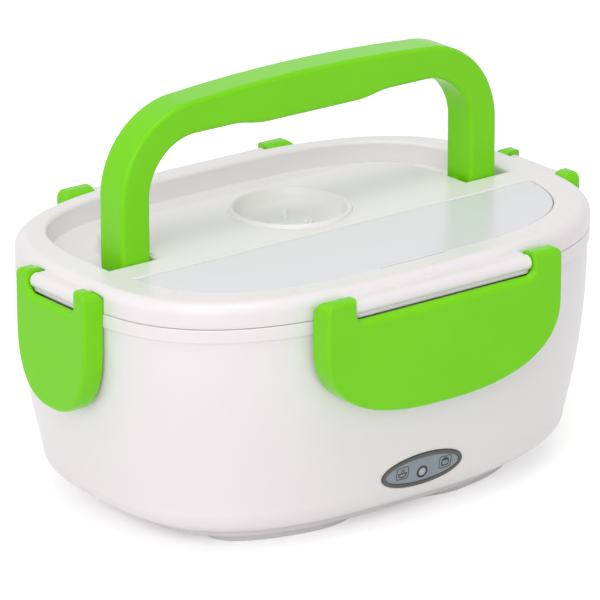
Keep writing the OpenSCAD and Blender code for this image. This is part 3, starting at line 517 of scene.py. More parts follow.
cover_edge = 1.2
lip_in = 2 * wall + 0.3
bottom = climb("bottom cover", base_plan(cover_edge), quarter(foot_h, 0, 0.6, 5, up=False) + [(base_z, 0)])
lip = solid("lip", [level(base_plan(i), z) for z, i in
                    [(base_z - 1, lip_in), (base_z + 2.2, lip_in), (base_z + 2.6, lip_in + 0.4),
                     (base_z + 2.6, lip_in + 1.6), (base_z - 1, lip_in + 1.6)]], ring_closed=True)
cover_holes = []
for x, y in screw_places:
    for r, z0, z1 in ((screw_r + 0.15, 0, base_z + 1), (head_r + 0.3, 0, foot_h + head_h + 0.1)):
        cover_holes.append(prism("hole", disc(r, x, y), z0, z1))
prop_y = inlet_low[1]
props = []
for s in (-1, 1):
    x = s * (inlet_top[0] - inlet_low[0]) / 3
    props.append(block("prop", (x - 1, prop_y, base_z - 1), (x + 1, prop_y + 4, inlet_low[2] - 0.1)))
work(bottom, adds=[lip] + props)
work(bottom, cuts=cover_holes)
shade(bottom)
attach(bottom, "base", white, "white_plastic", "bottom_cover")

# %% [markdown]
# A foot is a curved band between two lines that run parallel to the cover's edge. Near its two
# ends the outer line is drawn in along a parabola, so that the band tapers off.

# %% Mould the feet
matt = plastic("matt foot plastic", (232, 231, 230), (226, 225, 224), gloss=(0.5, 0.62), peel=0.2,
               cloud_mm=20)
foot_in = cover_edge + 1.6
foot_w = 9
foot_from = math.radians(26)
foot_to = math.radians(87)
foot_bend = math.radians(74)
foot_widest = math.radians(44)


def foot_point(t, d):
    """A point on the shell's lower edge at the angle t, drawn in by d."""
    return ((foot_a - d) * bow(math.cos(t), plan_n), (foot_b - d) * bow(math.sin(t), plan_n))


def drawn_in(t):
    """How far a strip's outer edge is drawn in, near its two ends."""
    past = (t - foot_bend) / (foot_to - foot_bend)
    short = (foot_widest - t) / (foot_widest - foot_from)
    return 0.75 * foot_w * max(0, past, short) ** 2


turns = [foot_from + (foot_to - foot_from) * k / 56 for k in range(57)]
strip_plan = [foot_point(t, foot_in + drawn_in(t)) for t in turns]
strip_plan += [foot_point(t, foot_in + foot_w) for t in reversed(turns)]
feet = []
for sx in (-1, 1):
    for sy in (-1, 1):
        feet.append(climb("foot", [(sx * x, sy * y) for x, y in strip_plan],
                          quarter(0, 0, 0.6, 5, up=False) + [(foot_h, 0)]))
strips = work(feet[0], adds=feet[1:])
strips.name = "feet"
shade(strips)
attach(strips, "base", matt, "foot_plastic", "corner_feet")

# %% [markdown]
# ## The inner liner
#
# The liner closes the shell from above and carries the food container. Its flange lies on the
# shell's ledge, its wall leans in and turns into the floor. Its section is drawn as rows of
# height and inset, up the outside and down the inside.

# %% Loft the liner
liner_in = 8.4
liner_draft = 8
liner_t = 2
floor_z = base_z + 19.4
liner_corner = 6
liner_round = 5
liner_low = floor_z - liner_t
liner_top = ledge_z + liner_t
screw_top = base_z + 12
window_a = 57
window_b = 34


def liner_at(z):
    """How far the liner's outer face is inside the rim's outline at height z."""
    lean = liner_draft * (ledge_z - z) / (ledge_z - floor_z - liner_corner)
    return liner_in + lean + liner_round * (max(0, floor_z + liner_corner - z) / liner_corner) ** 2


def corner_steps(z, rise, count=10):
    """Even steps of height up a rounded corner."""
    return [z + rise * k / count for k in range(count + 1)]


flange_in = wall + 0.4
liner_outer = [(liner_low, liner_at(floor_z) + 0.4), (liner_low + 0.25, liner_at(floor_z))]
liner_outer += [(z + 0.2, liner_at(z + 0.2)) for z in corner_steps(floor_z + 0.2, liner_corner - 0.2)]
liner_outer += [(ledge_z, liner_in), (ledge_z, flange_in)] + quarter(liner_top, flange_in, 0.5, 4)
liner_mouth = [(liner_top - 0.6 + 0.6 * math.cos(a), liner_in + liner_t - 0.6 + 0.6 * math.sin(a))
               for a in bend(4)]
liner_inner = [(z, liner_at(z) + liner_t) for z in reversed(corner_steps(floor_z, liner_corner))]
liner = solid("liner", rim_rings(liner_outer + liner_mouth + liner_inner))
print("liner lofted over", len(liner_outer + liner_mouth + liner_inner), "rows")

# %% [markdown]
# Four bosses under the floor take the cover's screws, and a window in the floor lets the
# heating plate through. The bosses are joined first and drilled afterwards.

# %% Add the bosses and cut the window
boss_r = 4.2
bosses = []
boss_cuts = []
for x, y in screw_places:
    bosses.append(prism("boss", disc(boss_r, x, y), base_z + 0.1, liner_low + 0.1))
    boss_cuts.append(prism("boss hole", disc(screw_r + 0.06, x, y), base_z - 1, screw_top + 1))
window = prism("window", plan(0, window_a, window_b, 4, 128), liner_low - 1, floor_z + 1)
work(liner, adds=bosses)
work(liner, cuts=boss_cuts + [window])
shade(liner)
attach(liner, "base", white, "white_plastic", "inner_liner")

# %% [markdown]
# ## The mains inlet
#
# The socket is black moulded plastic with a rounded mouth. A loft makes the mouth's cutter,
# a little wider at its outer end, and two round holes behind it hold the pins.

# %% Mould the inlet
inlet_w = inlet_top[0] - inlet_low[0]
inlet_tall = inlet_top[2] - inlet_low[2]
inlet_y = inlet_top[1]
inlet_z = (inlet_top[2] + inlet_low[2]) / 2
inlet_deep = 12
inlet_back = inlet_y - inlet_low[1] - inlet_deep
mouth_l = 16.4
mouth_h = 8.2
pin_x = 4.3
pin_r = 1.2
pin_out = 9.4
at_inlet = Matrix.Translation((0, inlet_y, inlet_z)) @ Matrix.Rotation(math.pi / 2, 4, "X")
black = plastic("black moulded plastic", (38, 38, 40), (30, 30, 32), gloss=(0.42, 0.55), peel=0.15,
                cloud_mm=8)


def rounded_box(x, y, w, h, r, steps=4):
    """A rectangle about the point x, y with rounded corners."""
    points = []
    for q, (sx, sy) in enumerate(((1, 1), (-1, 1), (-1, -1), (1, -1))):
        for k in range(steps + 1):
            a = math.pi / 2 * (q + k / steps)
            points.append((x + sx * (w / 2 - r) + r * math.cos(a),
                           y + sy * (h / 2 - r) + r * math.sin(a)))
    return points


inlet_l = inlet_deep + inlet_back
housing = climb("inlet housing", rounded_box(0, 0, inlet_w, inlet_tall, 0.8),
                quarter(0, 0, 0.5, 4, up=False) + quarter(inlet_l, 0, 0.5, 4))
stadium = rounded_box(0, 0, mouth_l, mouth_h, mouth_h / 2 - 0.01, 16)
socket = climb("socket", stadium, [(-1, -0.7), (0, -0.7), (0.15, -0.45), (0.4, -0.2), (0.9, 0),
                                   (inlet_deep, 0)])
pin_holes = [prism("pin hole", disc(pin_r + 0.06, s * pin_x), 1, inlet_l + 1) for s in (-1, 1)]
work(housing, cuts=[socket] + pin_holes)
move(housing, at_inlet)
shade(housing)
attach(housing, "base", black, "black_plastic", "inlet_housing")

# %% [markdown]
# ## Metals, silicone and small bought-in parts
#
# The heater is made of rolled sheet, extruded bar and plated steel. Rolling and drawing leave
# fine lines in one direction, so the metal's noises are squeezed along X or Z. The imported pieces
# have the right shape already; they keep it and only get these finishes.

# %% Make the metals
def metal(name, light, dark, gloss, grain, grain_mm=0.35):
    """Metal with fine lines in one direction."""
    m = plastic(name, light, dark, gloss=gloss, peel=0.25, peel_mm=grain_mm, cloud_mm=9, stretch=grain)
    m.node_tree.nodes["Principled BSDF"].inputs["Metallic"].default_value = 1.0
    return m


def dress(material, *nodes):
    """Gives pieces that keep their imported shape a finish."""
    for name in nodes:
        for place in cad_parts[name].material_slots:
            place.material = material
        print(name, "wears", material.name)


along = (0.04, 1, 1)
upright = (1, 1, 0.04)
plated = metal("plated brass", (214, 206, 184), (196, 188, 168), (0.3, 0.38), upright)
rolled = metal("rolled aluminium", (206, 208, 211), (190, 192, 195), (0.34, 0.44), along)
drawn = metal("drawn aluminium", (196, 198, 201), (178, 180, 183), (0.3, 0.4), along, 0.6)
steel = metal("plated steel", (182, 182, 184), (160, 160, 163), (0.3, 0.4), upright)
strip = metal("plated strip", (176, 176, 178), (152, 152, 156), (0.34, 0.46), along)
dress(rolled, "heating_plate")
dress(drawn, "heater_block")
dress(steel, "cover_screws", "clamp_screws")
dress(strip, "heater_clamp")

# %% [markdown]
# The inlet's two pins are drawn brass rod, plated, with a domed tip. Each is a short profile
# turned about its own axis, and the pair is joined into one piece.

# %% Turn the inlet's pins
mains_pins = []
for s in (-1, 1):
    tip = [(pin_r - i, z) for z, i in quarter(inlet_deep - pin_out, 0, 0.7, 6, up=False)]
    line = [(0.01, tip[0][1])] + tip + [(pin_r, inlet_l + 4), (0.01, inlet_l + 4)]
    mains_pins.append(move(revolve("pin", line, 40), Matrix.Translation((s * pin_x, 0, 0))))
both_pins = work(mains_pins[0], adds=mains_pins[1:])
both_pins.name = "inlet pins"
move(both_pins, at_inlet)
shade(both_pins)
attach(both_pins, "base", plated, "pin_metal", "inlet_pins")

# %% [markdown]
# The bought-in parts inside the base are small and seen only when the box is taken apart, so
# each gets one finish: dull silicone, warm phenolic, glazed ceramic, lacquer or insulation.

# %% Finish the bought-in parts
soft = plastic("soft silicone", (222, 223, 224), (212, 213, 215), gloss=(0.45, 0.56), peel=0.12,
               scatter=0.2)
dress(soft, "plate_seal")
for node, finish, light, dark, gloss, cloud_mm, scatter in (
    ("thermostat", "moulded phenolic", (214, 208, 192), (200, 193, 176), (0.42, 0.54), 5, 0),
    ("thermal_fuse", "glazed ceramic", (232, 228, 208), (222, 217, 196), (0.3, 0.4), 4, 0),
    ("indicator_board", "board lacquer", (24, 104, 58), (18, 90, 50), (0.3, 0.42), 3, 0),
    ("indicator_led", "red diode", (226, 74, 40), (212, 62, 32), (0.3, 0.36), 2, 0.3),
    ("mains_wires", "red insulation", (196, 42, 34), (178, 34, 28), (0.42, 0.54), 5, 0),
    ("indicator_wires", "black insulation", (44, 44, 46), (34, 34, 36), (0.42, 0.54), 5, 0),
):
    dress(plastic(finish, light, dark, gloss=gloss, cloud_mm=cloud_mm, scatter=scatter), node)

# %% [markdown]
# ## The food container and its tray
#
# The container is a thin milky tub that hangs by its flange inside the liner. A green tray
# takes up one end of it. Both are polypropylene, and the tray lets some light through.

# %% Mould the container
cont_gap = 1
cont_t = 1.6
cont_low = floor_z + 2.6
cont_corner = 8
cont_round = 7
cont_flange = wall + 0.6
cont_top = liner_top + 1.6
milky = plastic("milky plastic", (236, 238, 237), (230, 232, 231), gloss=(0.34, 0.42), scatter=0.25)


def cont_at(z):
    """How far the container's wall is inside the rim's outline at height z."""
    return liner_at(z) + liner_t + cont_gap


def cont_turn(z):
    """The same with the container's rounded lower corner."""
    return cont_at(z) + cont_round * (max(0, cont_low + cont_corner - z) / cont_corner) ** 2


tub_corner = corner_steps(cont_low, cont_corner, 14)
flange_z = liner_top + 0.05
tub_outer = [(z, cont_turn(z)) for z in tub_corner]
tub_outer += [(flange_z, cont_at(ledge_z)), (flange_z, cont_flange)] + quarter(cont_top, cont_flange, 0.5, 4)
tub_in = cont_at(ledge_z) + cont_t
tub_mouth = [(cont_top - 0.7 + 0.7 * math.cos(a), tub_in - 0.7 + 0.7 * math.sin(a))
             for a in bend(5)]
tub_inner = tub_mouth + [(z + cont_t, cont_turn(z) + cont_t) for z in reversed(tub_corner)]
tub = solid("container", rim_rings(tub_outer + tub_inner))
shade(tub)
attach(tub, "container", milky, "container_plastic", "food_container")

# %% [markdown]
# The tray is the same form again, a little smaller, and cut off by a straight wall. Its outside
# and its room are both lofted whole and then trimmed by blocks, so its curved end is parallel
# to the container's.

# %% Mould the tray
tray_t = 1.4
tray_x = span("divider_tray")[0][0]
tray_top = cont_top - 7
tray_grow = cont_t + 0.8
tinted = plastic("tinted plastic", (206, 234, 186), (198, 227, 177), gloss=(0.32, 0.4), scatter=0.3)
tray_rows = [(z + cont_t + 0.1, cont_turn(z) + tray_grow) for z in tub_corner]
tray_rows += quarter(tray_top, cont_at(tray_top) + tray_grow, 0.4, 4)
tray_inner = [(z + cont_t + 0.1 + tray_t, cont_turn(z) + tray_grow + tray_t) for z in tub_corner]
tray_inner += [(tray_top - 0.4, cont_at(tray_top) + tray_grow + tray_t),
               (tray_top - 0.1, cont_at(tray_top) + tray_grow + tray_t - 0.15),
               (tray_top + 1, cont_at(tray_top) + tray_grow + tray_t - 0.4)]
tray = solid("tray", rim_rings(tray_rows))
tray_room = solid("tray room", rim_rings(tray_inner))
work(tray_room, keeps=[block("room part", (tray_x + tray_t, -half_w, 0), (half_l, half_w, rim_z + 9))])
work(tray, cuts=[tray_room], keeps=[block("tray part", (tray_x, -half_w, 0), (half_l, half_w, rim_z))])
shade(tray)
attach(tray, "tray", tinted, "tray_plastic", "divider_tray")

# %% [markdown]
# ## The lid
#
# From above, the lid is a wide ring around a sunken groove. The folded handle lies in the
# groove, an island fills the middle, a bridge crosses in front of it, and the cutlery
# compartment lies between the bridge and the front of the ring. All of these come from two
# cutters whose walls flare out at the top: the flare leaves a rounded edge on the lid.
# The handle, or bail, is bail_s wide and bail_d deep, and its inner corners have radius bail_r.

# %% Set the lid's sizes
lid_edge = 4.6
lid_t = 1.8
deck_z = rim_z + 0.4
deck_low = deck_z - lid_t
ring_in_l = half_l - 15.5
rear_b = half_w - 10.4
front_b = half_w - 12.6
rear_n = 3.4
front_n = 3.2
bail_s = 13.2
bail_d = 15.6
bail_y = 3
bail_r = 22.2
leg_out = ring_in_l - 6.6
leg_in = leg_out - bail_s
leg_rear = bail_y + bail_s / 2
leg_front = leg_rear - bail_d
bridge_rear = leg_front - 0.4
bridge_front = bridge_rear - 13.5
island_gap = 2.3
island_w = leg_in - island_gap
bail_rise = rear_b - 3.4 - bail_y
bail_crown = 2.3
grip_swell = 2
island_y = bail_y + bail_rise - (bail_s + bail_crown + grip_swell) - island_gap
island_r = bail_r - island_gap
pivot_z = lid_top - 2.4
print("handle groove from", round(leg_in, 1), "to", round(leg_out, 1), "mm out from the middle")

# %% [markdown]
# The cap is lofted hollow from below: up the inside of its wall first, then round its lower
# edge and up the outside to the big rounded edge of the ring.

# %% Loft the cap
under_edge = lid_edge * 0.75
cap_rows = [(lid_top - lid_t, wall + under_edge), (lid_top - lid_t - 1, wall + 0.35 * under_edge),
            (lid_top - lid_edge, wall), (lid_low, wall), (lid_low, 0.5), (lid_low + 0.15, 0.15),
            (lid_low + 0.5, 0)]
cap_rows += [(lid_low + 2.5, 0)] + quarter(lid_top, 0, lid_edge, 10)
lid = solid("lid", [level(plan(i), z) for z, i in cap_rows])

# %% [markdown]
# The groove runs around the island. Its outer line is the ring's inner edge and its inner line
# goes round the island, whose top tilts down to the back. The cutter's top follows that tilt,
# so that the rounded edge keeps its width all the way.

# %% Loft the groove's cutter
flare = 1.5
island_tilt = math.radians(4.5)
slope_from = leg_rear
back = cut_plan(ring_in_l, rear_b, rear_n, bridge_rear)
left_side = [(-island_w, bridge_rear)]
left_side += [(-island_w + island_r * (1 - math.cos(a)), island_y - island_r * (1 - math.sin(a)))
              for a in bend(24)]
right_side = [(-x, y) for x, y in reversed(left_side)]
groove = back + left_side + right_side
on_island = [0] * len(back) + [1] * (len(left_side) + len(right_side))
drops = [f * math.tan(island_tilt) * max(0, p[1] - slope_from) for f, p in zip(on_island, groove)]


def groove_ring(inset, z, follow):
    """A ring of the groove's cutter that follows the island's tilt."""
    return [(p[0], p[1], z - follow * d) for p, d in zip(grown(groove, -inset), drops)]


groove_rows = [(deck_z, 0.9, 0), (deck_z + 0.26, 0.26, 0), (deck_z + 0.9, 0, 0)]
groove_cut = solid("groove", [groove_ring(i, z, f) for z, i, f in groove_rows] + [
    groove_ring(flare * (math.cos(a) - 1), lid_top - flare + flare * math.sin(a), 1)
    for a in bend(8)] + [groove_ring(-flare, lid_top + PAST, 0)])
print("groove cutter:", len(groove_cut.data.vertices), "points")

# %% [markdown]
# The compartment in front has a rebate around its top, where the clear cover lies. Behind it
# a slot gives the cover's hinge edge room to swing.

# %% Loft the compartment's cutters
clear_l = ring_in_l - 0.6
clear_b = front_b - 0.5
clear_t = 1.8
clear_z = lid_top - 0.3 - clear_t
clear_gap = 0.3
clear_hinge_y = bridge_front - 1.9
clear_hinge_z = clear_z + clear_t / 2
clear_hinge_x = clear_l * (1 - (abs(clear_hinge_y) / clear_b) ** front_n) ** (1 / front_n)


def front_plan(a, b, cut):
    """The front part of the ring's inner edge, in front of y = -cut."""
    return [(x, -y) for x, y in reversed(cut_plan(a, b, front_n, cut))]


well = climb("well", front_plan(clear_l - 2, clear_b - 2, -bridge_front),
             [(deck_z, 0.9), (deck_z + 0.26, 0.26), (deck_z + 0.9, 0), (clear_z + PAST, 0)])
rebate = climb("rebate", front_plan(clear_l + clear_gap, clear_b + clear_gap, -bridge_front),
               [(clear_z - 0.15, 0), (lid_top - 0.8, 0)]
               + [(lid_top - 0.8 + 0.8 * math.sin(a), 0.8 * (math.cos(a) - 1))
                  for a in bend(5)[1:]] + [(lid_top + PAST, -0.8)])
swing = 2.1
slot_low = (-clear_hinge_x - clear_gap, clear_hinge_y - swing, clear_hinge_z - swing)
hinge_slot = block("hinge slot", slot_low, (-slot_low[0], bridge_front, lid_top + PAST))
print("the clear cover swings about y =", round(clear_hinge_y, 1), "z =", round(clear_hinge_z, 1), "mm")

# %% [markdown]
# The dish in the middle is a turned shape: a soft raised rim, a sunken floor and a hole for the
# plug. Its profile has few points, and a smooth curve is drawn through them.

# %% Turn the dish
dish_r = 23
dish_y = bridge_front + 2.6 + 3.6 + dish_r
dish_floor = lid_top - 5.5
vent_r = 3.6


def curve(points, steps=5):
    """A smooth line through the points."""
    knots = [Vector(p) for p in [points[0]] + points + [points[-1]]]
    line = []
    for a, b, c, d in zip(knots, knots[1:], knots[2:], knots[3:]):
        for t in [k / steps for k in range(steps)]:
            late = (3 * (b - c) + d - a) * t ** 3
            line.append(tuple((2 * b + (c - a) * t + (2 * a - 5 * b + 4 * c - d) * t * t + late) / 2))
    return line + [points[-1]]


dish_up = 1.4
rim_line = curve([(dish_r + 1.9, lid_top - 1.2), (dish_r + 1.4, lid_top - 0.2),
                  (dish_r + 0.9, lid_top + 0.7 * dish_up), (dish_r, lid_top + dish_up),
                  (dish_r - 0.9, lid_top + 0.5 * dish_up), (dish_r - 2, lid_top - 1.6),
                  (dish_r - 4, lid_top - 3.7), (dish_r - 7, dish_floor + 0.6), (dish_r - 11, dish_floor)])
dish_line = [(0.01, dish_floor - 2), (dish_r + 2, dish_floor - 2)] + rim_line + [(0.01, dish_floor)]
dish = move(revolve("dish", dish_line), Matrix.Translation((0, dish_y, 0)))
dish_room = prism("dish room", disc(dish_r, 0, dish_y, 96), dish_floor - 1, lid_top + 9)
vent = prism("vent", disc(vent_r, 0, dish_y), deck_low - 1, lid_top)
print("dish at", round(dish_y, 1), "mm, radius", dish_r)

# %% [markdown]
# Each side of the lid carries a round bar that its clip swings on. The lid's wall is scooped
# out beside the bar, so that the two ears of the clip have room to turn. A clip has its own
# frame, like the panel: X along the bar, Y outwards and Z up.

# %% Hinge bars and room for the ears
clip_z = rim_z + 4.6
clip_out = 3.6
bar_r = 2.9
ear_r = 4.4
room_r = ear_r + 0.9
ear_gap = 0.4
pin_play = 0.06
stud_r = 1.5
stud_l = 4
# each clip's turn about Z, reach, half width, ear width and drop
clips = {
    "front": (0, half_w + clip_out, 56.3, 13.4, 45.4),
    "back": (math.pi, half_w + clip_out, 56.3, 13.4, 45.4),
    "left": (-math.pi / 2, half_l + clip_out, 22.3, 7.2, 47),
    "right": (math.pi / 2, half_l + clip_out, 22.3, 7.2, 47),
}


def at_clip(turn, reach):
    """The frame of a clip, from its turn about Z and its distance from the middle."""
    return (Matrix.Rotation(turn, 4, "Z") @ Matrix.Translation((0, -reach, clip_z))
            @ Matrix.Scale(-1, 4, (0, 1, 0)))


def rod(name, r, x0, x1, edge=0.4, count=48):
    """A round rod along X with softened ends."""
    rows = [(x0, edge), (x0 + edge, 0), (x1 - edge, 0), (x1, edge)]
    rings = [[(x, y, z) for y, z in disc(r - i, count=count)] for x, i in rows]
    return solid(name, rings)


bars = []
rooms = []
for turn, reach, half, ear, _ in clips.values():
    bar_half = half - ear - ear_gap
    web_in = clip_out + wall + 0.3
    bars.append(move(rod("bar", bar_r, -bar_half, bar_half), at_clip(turn, reach)))
    for out, low, high in ((0, -2, bar_r - 0.15), (1, -4.2, 0)):
        web = block("web", (-bar_half + 0.4, -web_in, low), (bar_half - 0.4, out, high))
        bars.append(move(web, at_clip(turn, reach)))
    arch = disc(room_r, count=48)[:25] + [(-room_r, -10), (room_r, -10)]
    for s in (-1, 1):
        x0 = s * bar_half
        x1 = s * (bar_half + ear + 2 * ear_gap)
        room = solid("room", [[(x, y, z) for y, z in arch] for x in (x0, x1)])
        rooms.append(move(room, at_clip(turn, reach)))
        deep = s * (bar_half - stud_l - 0.3)
        bore = rod("bore", stud_r + pin_play, *sorted((deep, x1)), 0)
        rooms.append(move(bore, at_clip(turn, reach)))
print(len(bars) // 2, "bars,", len(rooms) // 2, "scoops for the ears")

# %% [markdown]
# Now the lid is put together: the deck closes the cap from below, the cutters open it from
# above, and a tilted block takes the island's top down towards the back.

# %% Assemble the lid
deck = prism("deck", plan(-lid_t, ring_in_l, rear_b, rear_n), deck_low, lid_top - lid_t / 2)
tilt_far = island_y - slope_from + island_gap
tilt_block = block("tilt", (-island_w - 0.6, 0, 0), (island_w + 0.6, tilt_far, 9))
move(tilt_block, Matrix.Translation((0, slope_from, lid_top)) @ Matrix.Rotation(-island_tilt, 4, "X"))
work(lid, adds=[deck])
work(lid, cuts=[groove_cut, tilt_block, well, rebate, hinge_slot, dish_room])
work(lid, adds=[dish] + bars)
bail_pin_r = 1.5
clear_pin_r = 0.8
holes = []
for s in (-1, 1):
    hole = prism("handle hole", disc(bail_pin_r + pin_play), 0, 5.5)
    holes.append(along_x(hole, s * (leg_in - 5.8), bail_y, pivot_z, s))
    hole = prism("cover hole", disc(clear_pin_r + pin_play), 0, 2.8)
    holes.append(along_x(hole, s * (clear_hinge_x - 1), clear_hinge_y, clear_hinge_z, s))
work(lid, cuts=[vent] + rooms + holes)
shade(lid)
attach(lid, "lid", white, "white_plastic", "lid_shell")

# %% [markdown]
# ## The lid's inner side
#
# A second moulding closes the lid from below. Its pan reaches into the container's mouth, and
# a flat silicone ring lies on the container's flange and seals it.

# %% Mould the lid's liner and the seal
pan_in = cont_at(ledge_z) + cont_t + 1
pan_t = 1.6
seal_low = cont_top + 0.05
pan_top = seal_low + 1
pan_z = pan_top - 8
edge_in = wall + 0.5
edge_z = lid_low + 2.8
shelf_z = deck_low - 0.1
pan_rows = [(pan_z, pan_in + 2.0), (pan_z + 0.15, pan_in + 1.3), (pan_z + 0.6, pan_in + 0.75),
            (pan_z + 1.3, pan_in + 0.4)]
pan_rows += [(pan_top - 0.3, pan_in + 0.03), (pan_top, pan_in - 0.2)]
pan_rows += [(pan_top, edge_in + 0.3), (pan_top + 0.3, edge_in)] + quarter(edge_z, edge_in, 0.5, 4)
pan_rows += [(edge_z, edge_in + pan_t), (shelf_z, edge_in + pan_t), (shelf_z, pan_in + pan_t)]
pan_rows += [(pan_z + pan_t + 0.6, pan_in + pan_t + 0.5), (pan_z + pan_t, pan_in + pan_t + 1.2)]
pan = solid("lid liner", rim_rings(pan_rows))
pan_hole = prism("pan hole", disc(vent_r, 0, dish_y), pan_z - 1, pan_z + pan_t + 1)
work(pan, cuts=[pan_hole])
shade(pan)
attach(pan, "lid", white, "white_plastic", "lid_liner")

seal_in = 4.6
seal_w = 5
seal_round = quarter(seal_low, seal_in, 0.35, 4, up=False) + quarter(pan_top - 0.05, seal_in, 0.35, 4)
seal_round += [(z, 2 * seal_in + seal_w - i) for z, i in reversed(seal_round)]
seal = solid("seal", rim_rings(seal_round), ring_closed=True)
shade(seal)
attach(seal, "lid", soft, "silicone", "lid_gasket")

# %% [markdown]
# ## The carry handle
#
# The handle is one thick bail, a little deeper than it is wide, with rounded edges. Its section
# is swept along two legs, two wide corners and a gently crowned grip that swells under the
# middle. The feet end in a curve about the pivots, so they can turn in the groove.

# %% Draw the handle's section
edge = 1.8
outer_r = bail_r + bail_s
mid_x = leg_out - outer_r
mid_z = pivot_z + bail_rise - bail_crown - outer_r


def smooth(v):
    """An even rise from 0 to 1."""
    q = max(0, min(1, v))
    return q * q * (3 - 2 * q)


def section(outer, inner, y0=leg_front, y1=leg_rear, steps=7):
    """A ring between an outer and an inner point in X and Z, from y0 back to y1."""
    mid = (Vector(outer) + Vector(inner)) / 2
    d = (Vector(outer) - Vector(inner)).normalized()
    deep = (y1 - y0) / 2
    r = min(edge, deep * 0.95)
    h = (Vector(outer) - Vector(inner)).length / 2 - r
    w = deep - r
    ring = []
    for q in range(4):
        for j in range(steps + 1):
            a = math.pi / 2 * (q + j / steps)
            u = (h if q in (0, 3) else -h) + r * math.cos(a)
            v = (w if q < 2 else -w) + r * math.sin(a)
            ring.append((mid.x + d.x * u, (y0 + y1) / 2 - v, mid.y + d.y * u))
    return ring


print("the handle's corners turn at", round(mid_x, 1), "mm from the middle")

# %% [markdown]
# One half of the bail is swept from its foot to the middle of the grip, and the same rings,
# mirrored and in reverse, finish the other half. So both halves match to the last point.

# %% Sweep the handle
foot = bail_s / 2
leg = []
for a in bend(12)[1:]:
    z = pivot_z - foot * math.cos(a)
    out = max(0.05, math.sin(a))
    front = bail_y + (leg_front - bail_y) * out
    leg.append(section((-leg_out, z), (-leg_in, z), front, bail_y + foot * out))
for k in range(1, 9):
    z = pivot_z + (mid_z - pivot_z) * k / 9
    leg.append(section((-leg_out, z), (-leg_in, z)))
for a in bend(28):
    leg.append(section((-mid_x - outer_r * math.cos(a), mid_z + outer_r * math.sin(a)),
                       (-mid_x - bail_r * math.cos(a), mid_z + bail_r * math.sin(a))))
for k in range(1, 31):
    x = mid_x * (k / 30 - 1)
    top = mid_z + outer_r + bail_crown * (1 - (x / mid_x) ** 2)
    leg.append(section((x, top), (x, mid_z + bail_r - grip_swell * smooth((38 - abs(x)) / 16))))


def mirrored(ring):
    """The same ring on the other leg."""
    return [(-x, y, z) for x, y, z in ring]


handle = solid("handle", leg + [mirrored(ring) for ring in reversed(leg[:-1])])
bail_pins = []
for s in (-1, 1):
    pin = prism("pin", disc(bail_pin_r, count=48), -5.5, 1)
    bail_pins.append(along_x(pin, s * leg_in, bail_y, pivot_z, s))
work(handle, adds=bail_pins)
shade(handle, 50)
attach(handle, "handle", green, "green_plastic", "carry_handle")

# %% [markdown]
# ## The clips
#
# A clip is a curved flap with two ears. Seen from the front it is one closed outline: the
# rounded lower edge, the ears, and the notch for the bar between them.

# %% Draw a clip's outline
clip_top = -4.4
clip_slope = math.tan(math.radians(40))
clip_turn = 31
clip_n = 2.5
clip_t = 2.2
face_round = 1.3
ear_round = 2.2


def lower_curve(half, drop, inset, steps=64):
    """A clip's rounded lower edge, from left to right."""
    turns = [math.pi + math.pi * k / steps for k in range(steps + 1)]
    return [((half - inset) * bow(math.cos(t), clip_n),
             clip_turn - drop + (clip_turn - inset) * bow(math.sin(t), clip_n)) for t in turns]


def flap_outline(half, ear, drop):
    """Front view of a clip: ears, a notch for the bar between them, and the flap.
    Each point also says how far it follows the slope of the top edge, from 0 to 1."""
    fillet = 3.4
    shoulder = 3.6
    nx = half - ear
    right = [(half - shoulder * (1 - math.cos(a)), ear_r - shoulder * (1 - math.sin(a)), 0)
             for a in bend(8)]
    right += [(nx, ear_r, 0)]
    right += [(nx - fillet * (1 - math.cos(a)), clip_top + fillet * (1 - math.sin(a)), math.sin(a))
              for a in bend(8)]
    left = [(-x, z, w) for x, z, w in reversed(right)]
    return [(x, z, 0) for x, z in lower_curve(half, drop, 0)] + right + left


print("the front clip's outline has", len(flap_outline(*clips["front"][2:])), "points")

# %% [markdown]
# The outline is lofted from back to front, and the last rings are drawn in to round the edge.
# The tops of the ears follow the round of the pivot, and between the ears the top edge slopes
# down to the front, which makes room for a thumb.

# %% Loft a clip's flap
def clip_body(name, half, ear, drop):
    """The flap, lofted along Y, with the tops of its ears rounded about the pivot."""
    face = ear_r
    rear = -ear_r - 0.8
    marked = flap_outline(half, ear, drop)
    outline = [p[:2] for p in marked]
    follows = [p[2] for p in marked]
    tops = [p[1] > 0.5 for p in outline]
    depth = [rear] + [-ear_r * math.cos(a) for a in bend(8)]
    depth += [face - ear_round + ear_round * math.sin(a) for a in bend(12)]
    rings = []
    for y in depth:
        over = max(0, y - (face - face_round))
        inset = face_round - math.sqrt(max(0, face_round ** 2 - over ** 2))
        if y < 0:
            limit = math.sqrt(max(0, ear_r ** 2 - y ** 2))
        else:
            past = max(0, y - (face - ear_round))
            limit = ear_r - ear_round + math.sqrt(max(0, ear_round ** 2 - past ** 2))
        limit = max(limit, 0.4)
        down = clip_slope * max(0, y - (face - clip_t))
        rings.append([(p[0], y, min(p[1], limit - inset * 0.3) if t else p[1] - f * down)
                      for p, t, f in zip(grown(outline, -inset), tops, follows)])
    return solid(name, rings)


print("the slope falls", round(clip_slope * clip_t, 1), "mm over the flap's thickness")

# %% [markdown]
# The hollow behind the flap is cut out, studs and a hook rib are added, and the back edge is
# trimmed to the shape of the body it closes on. All four clips come from the same steps.

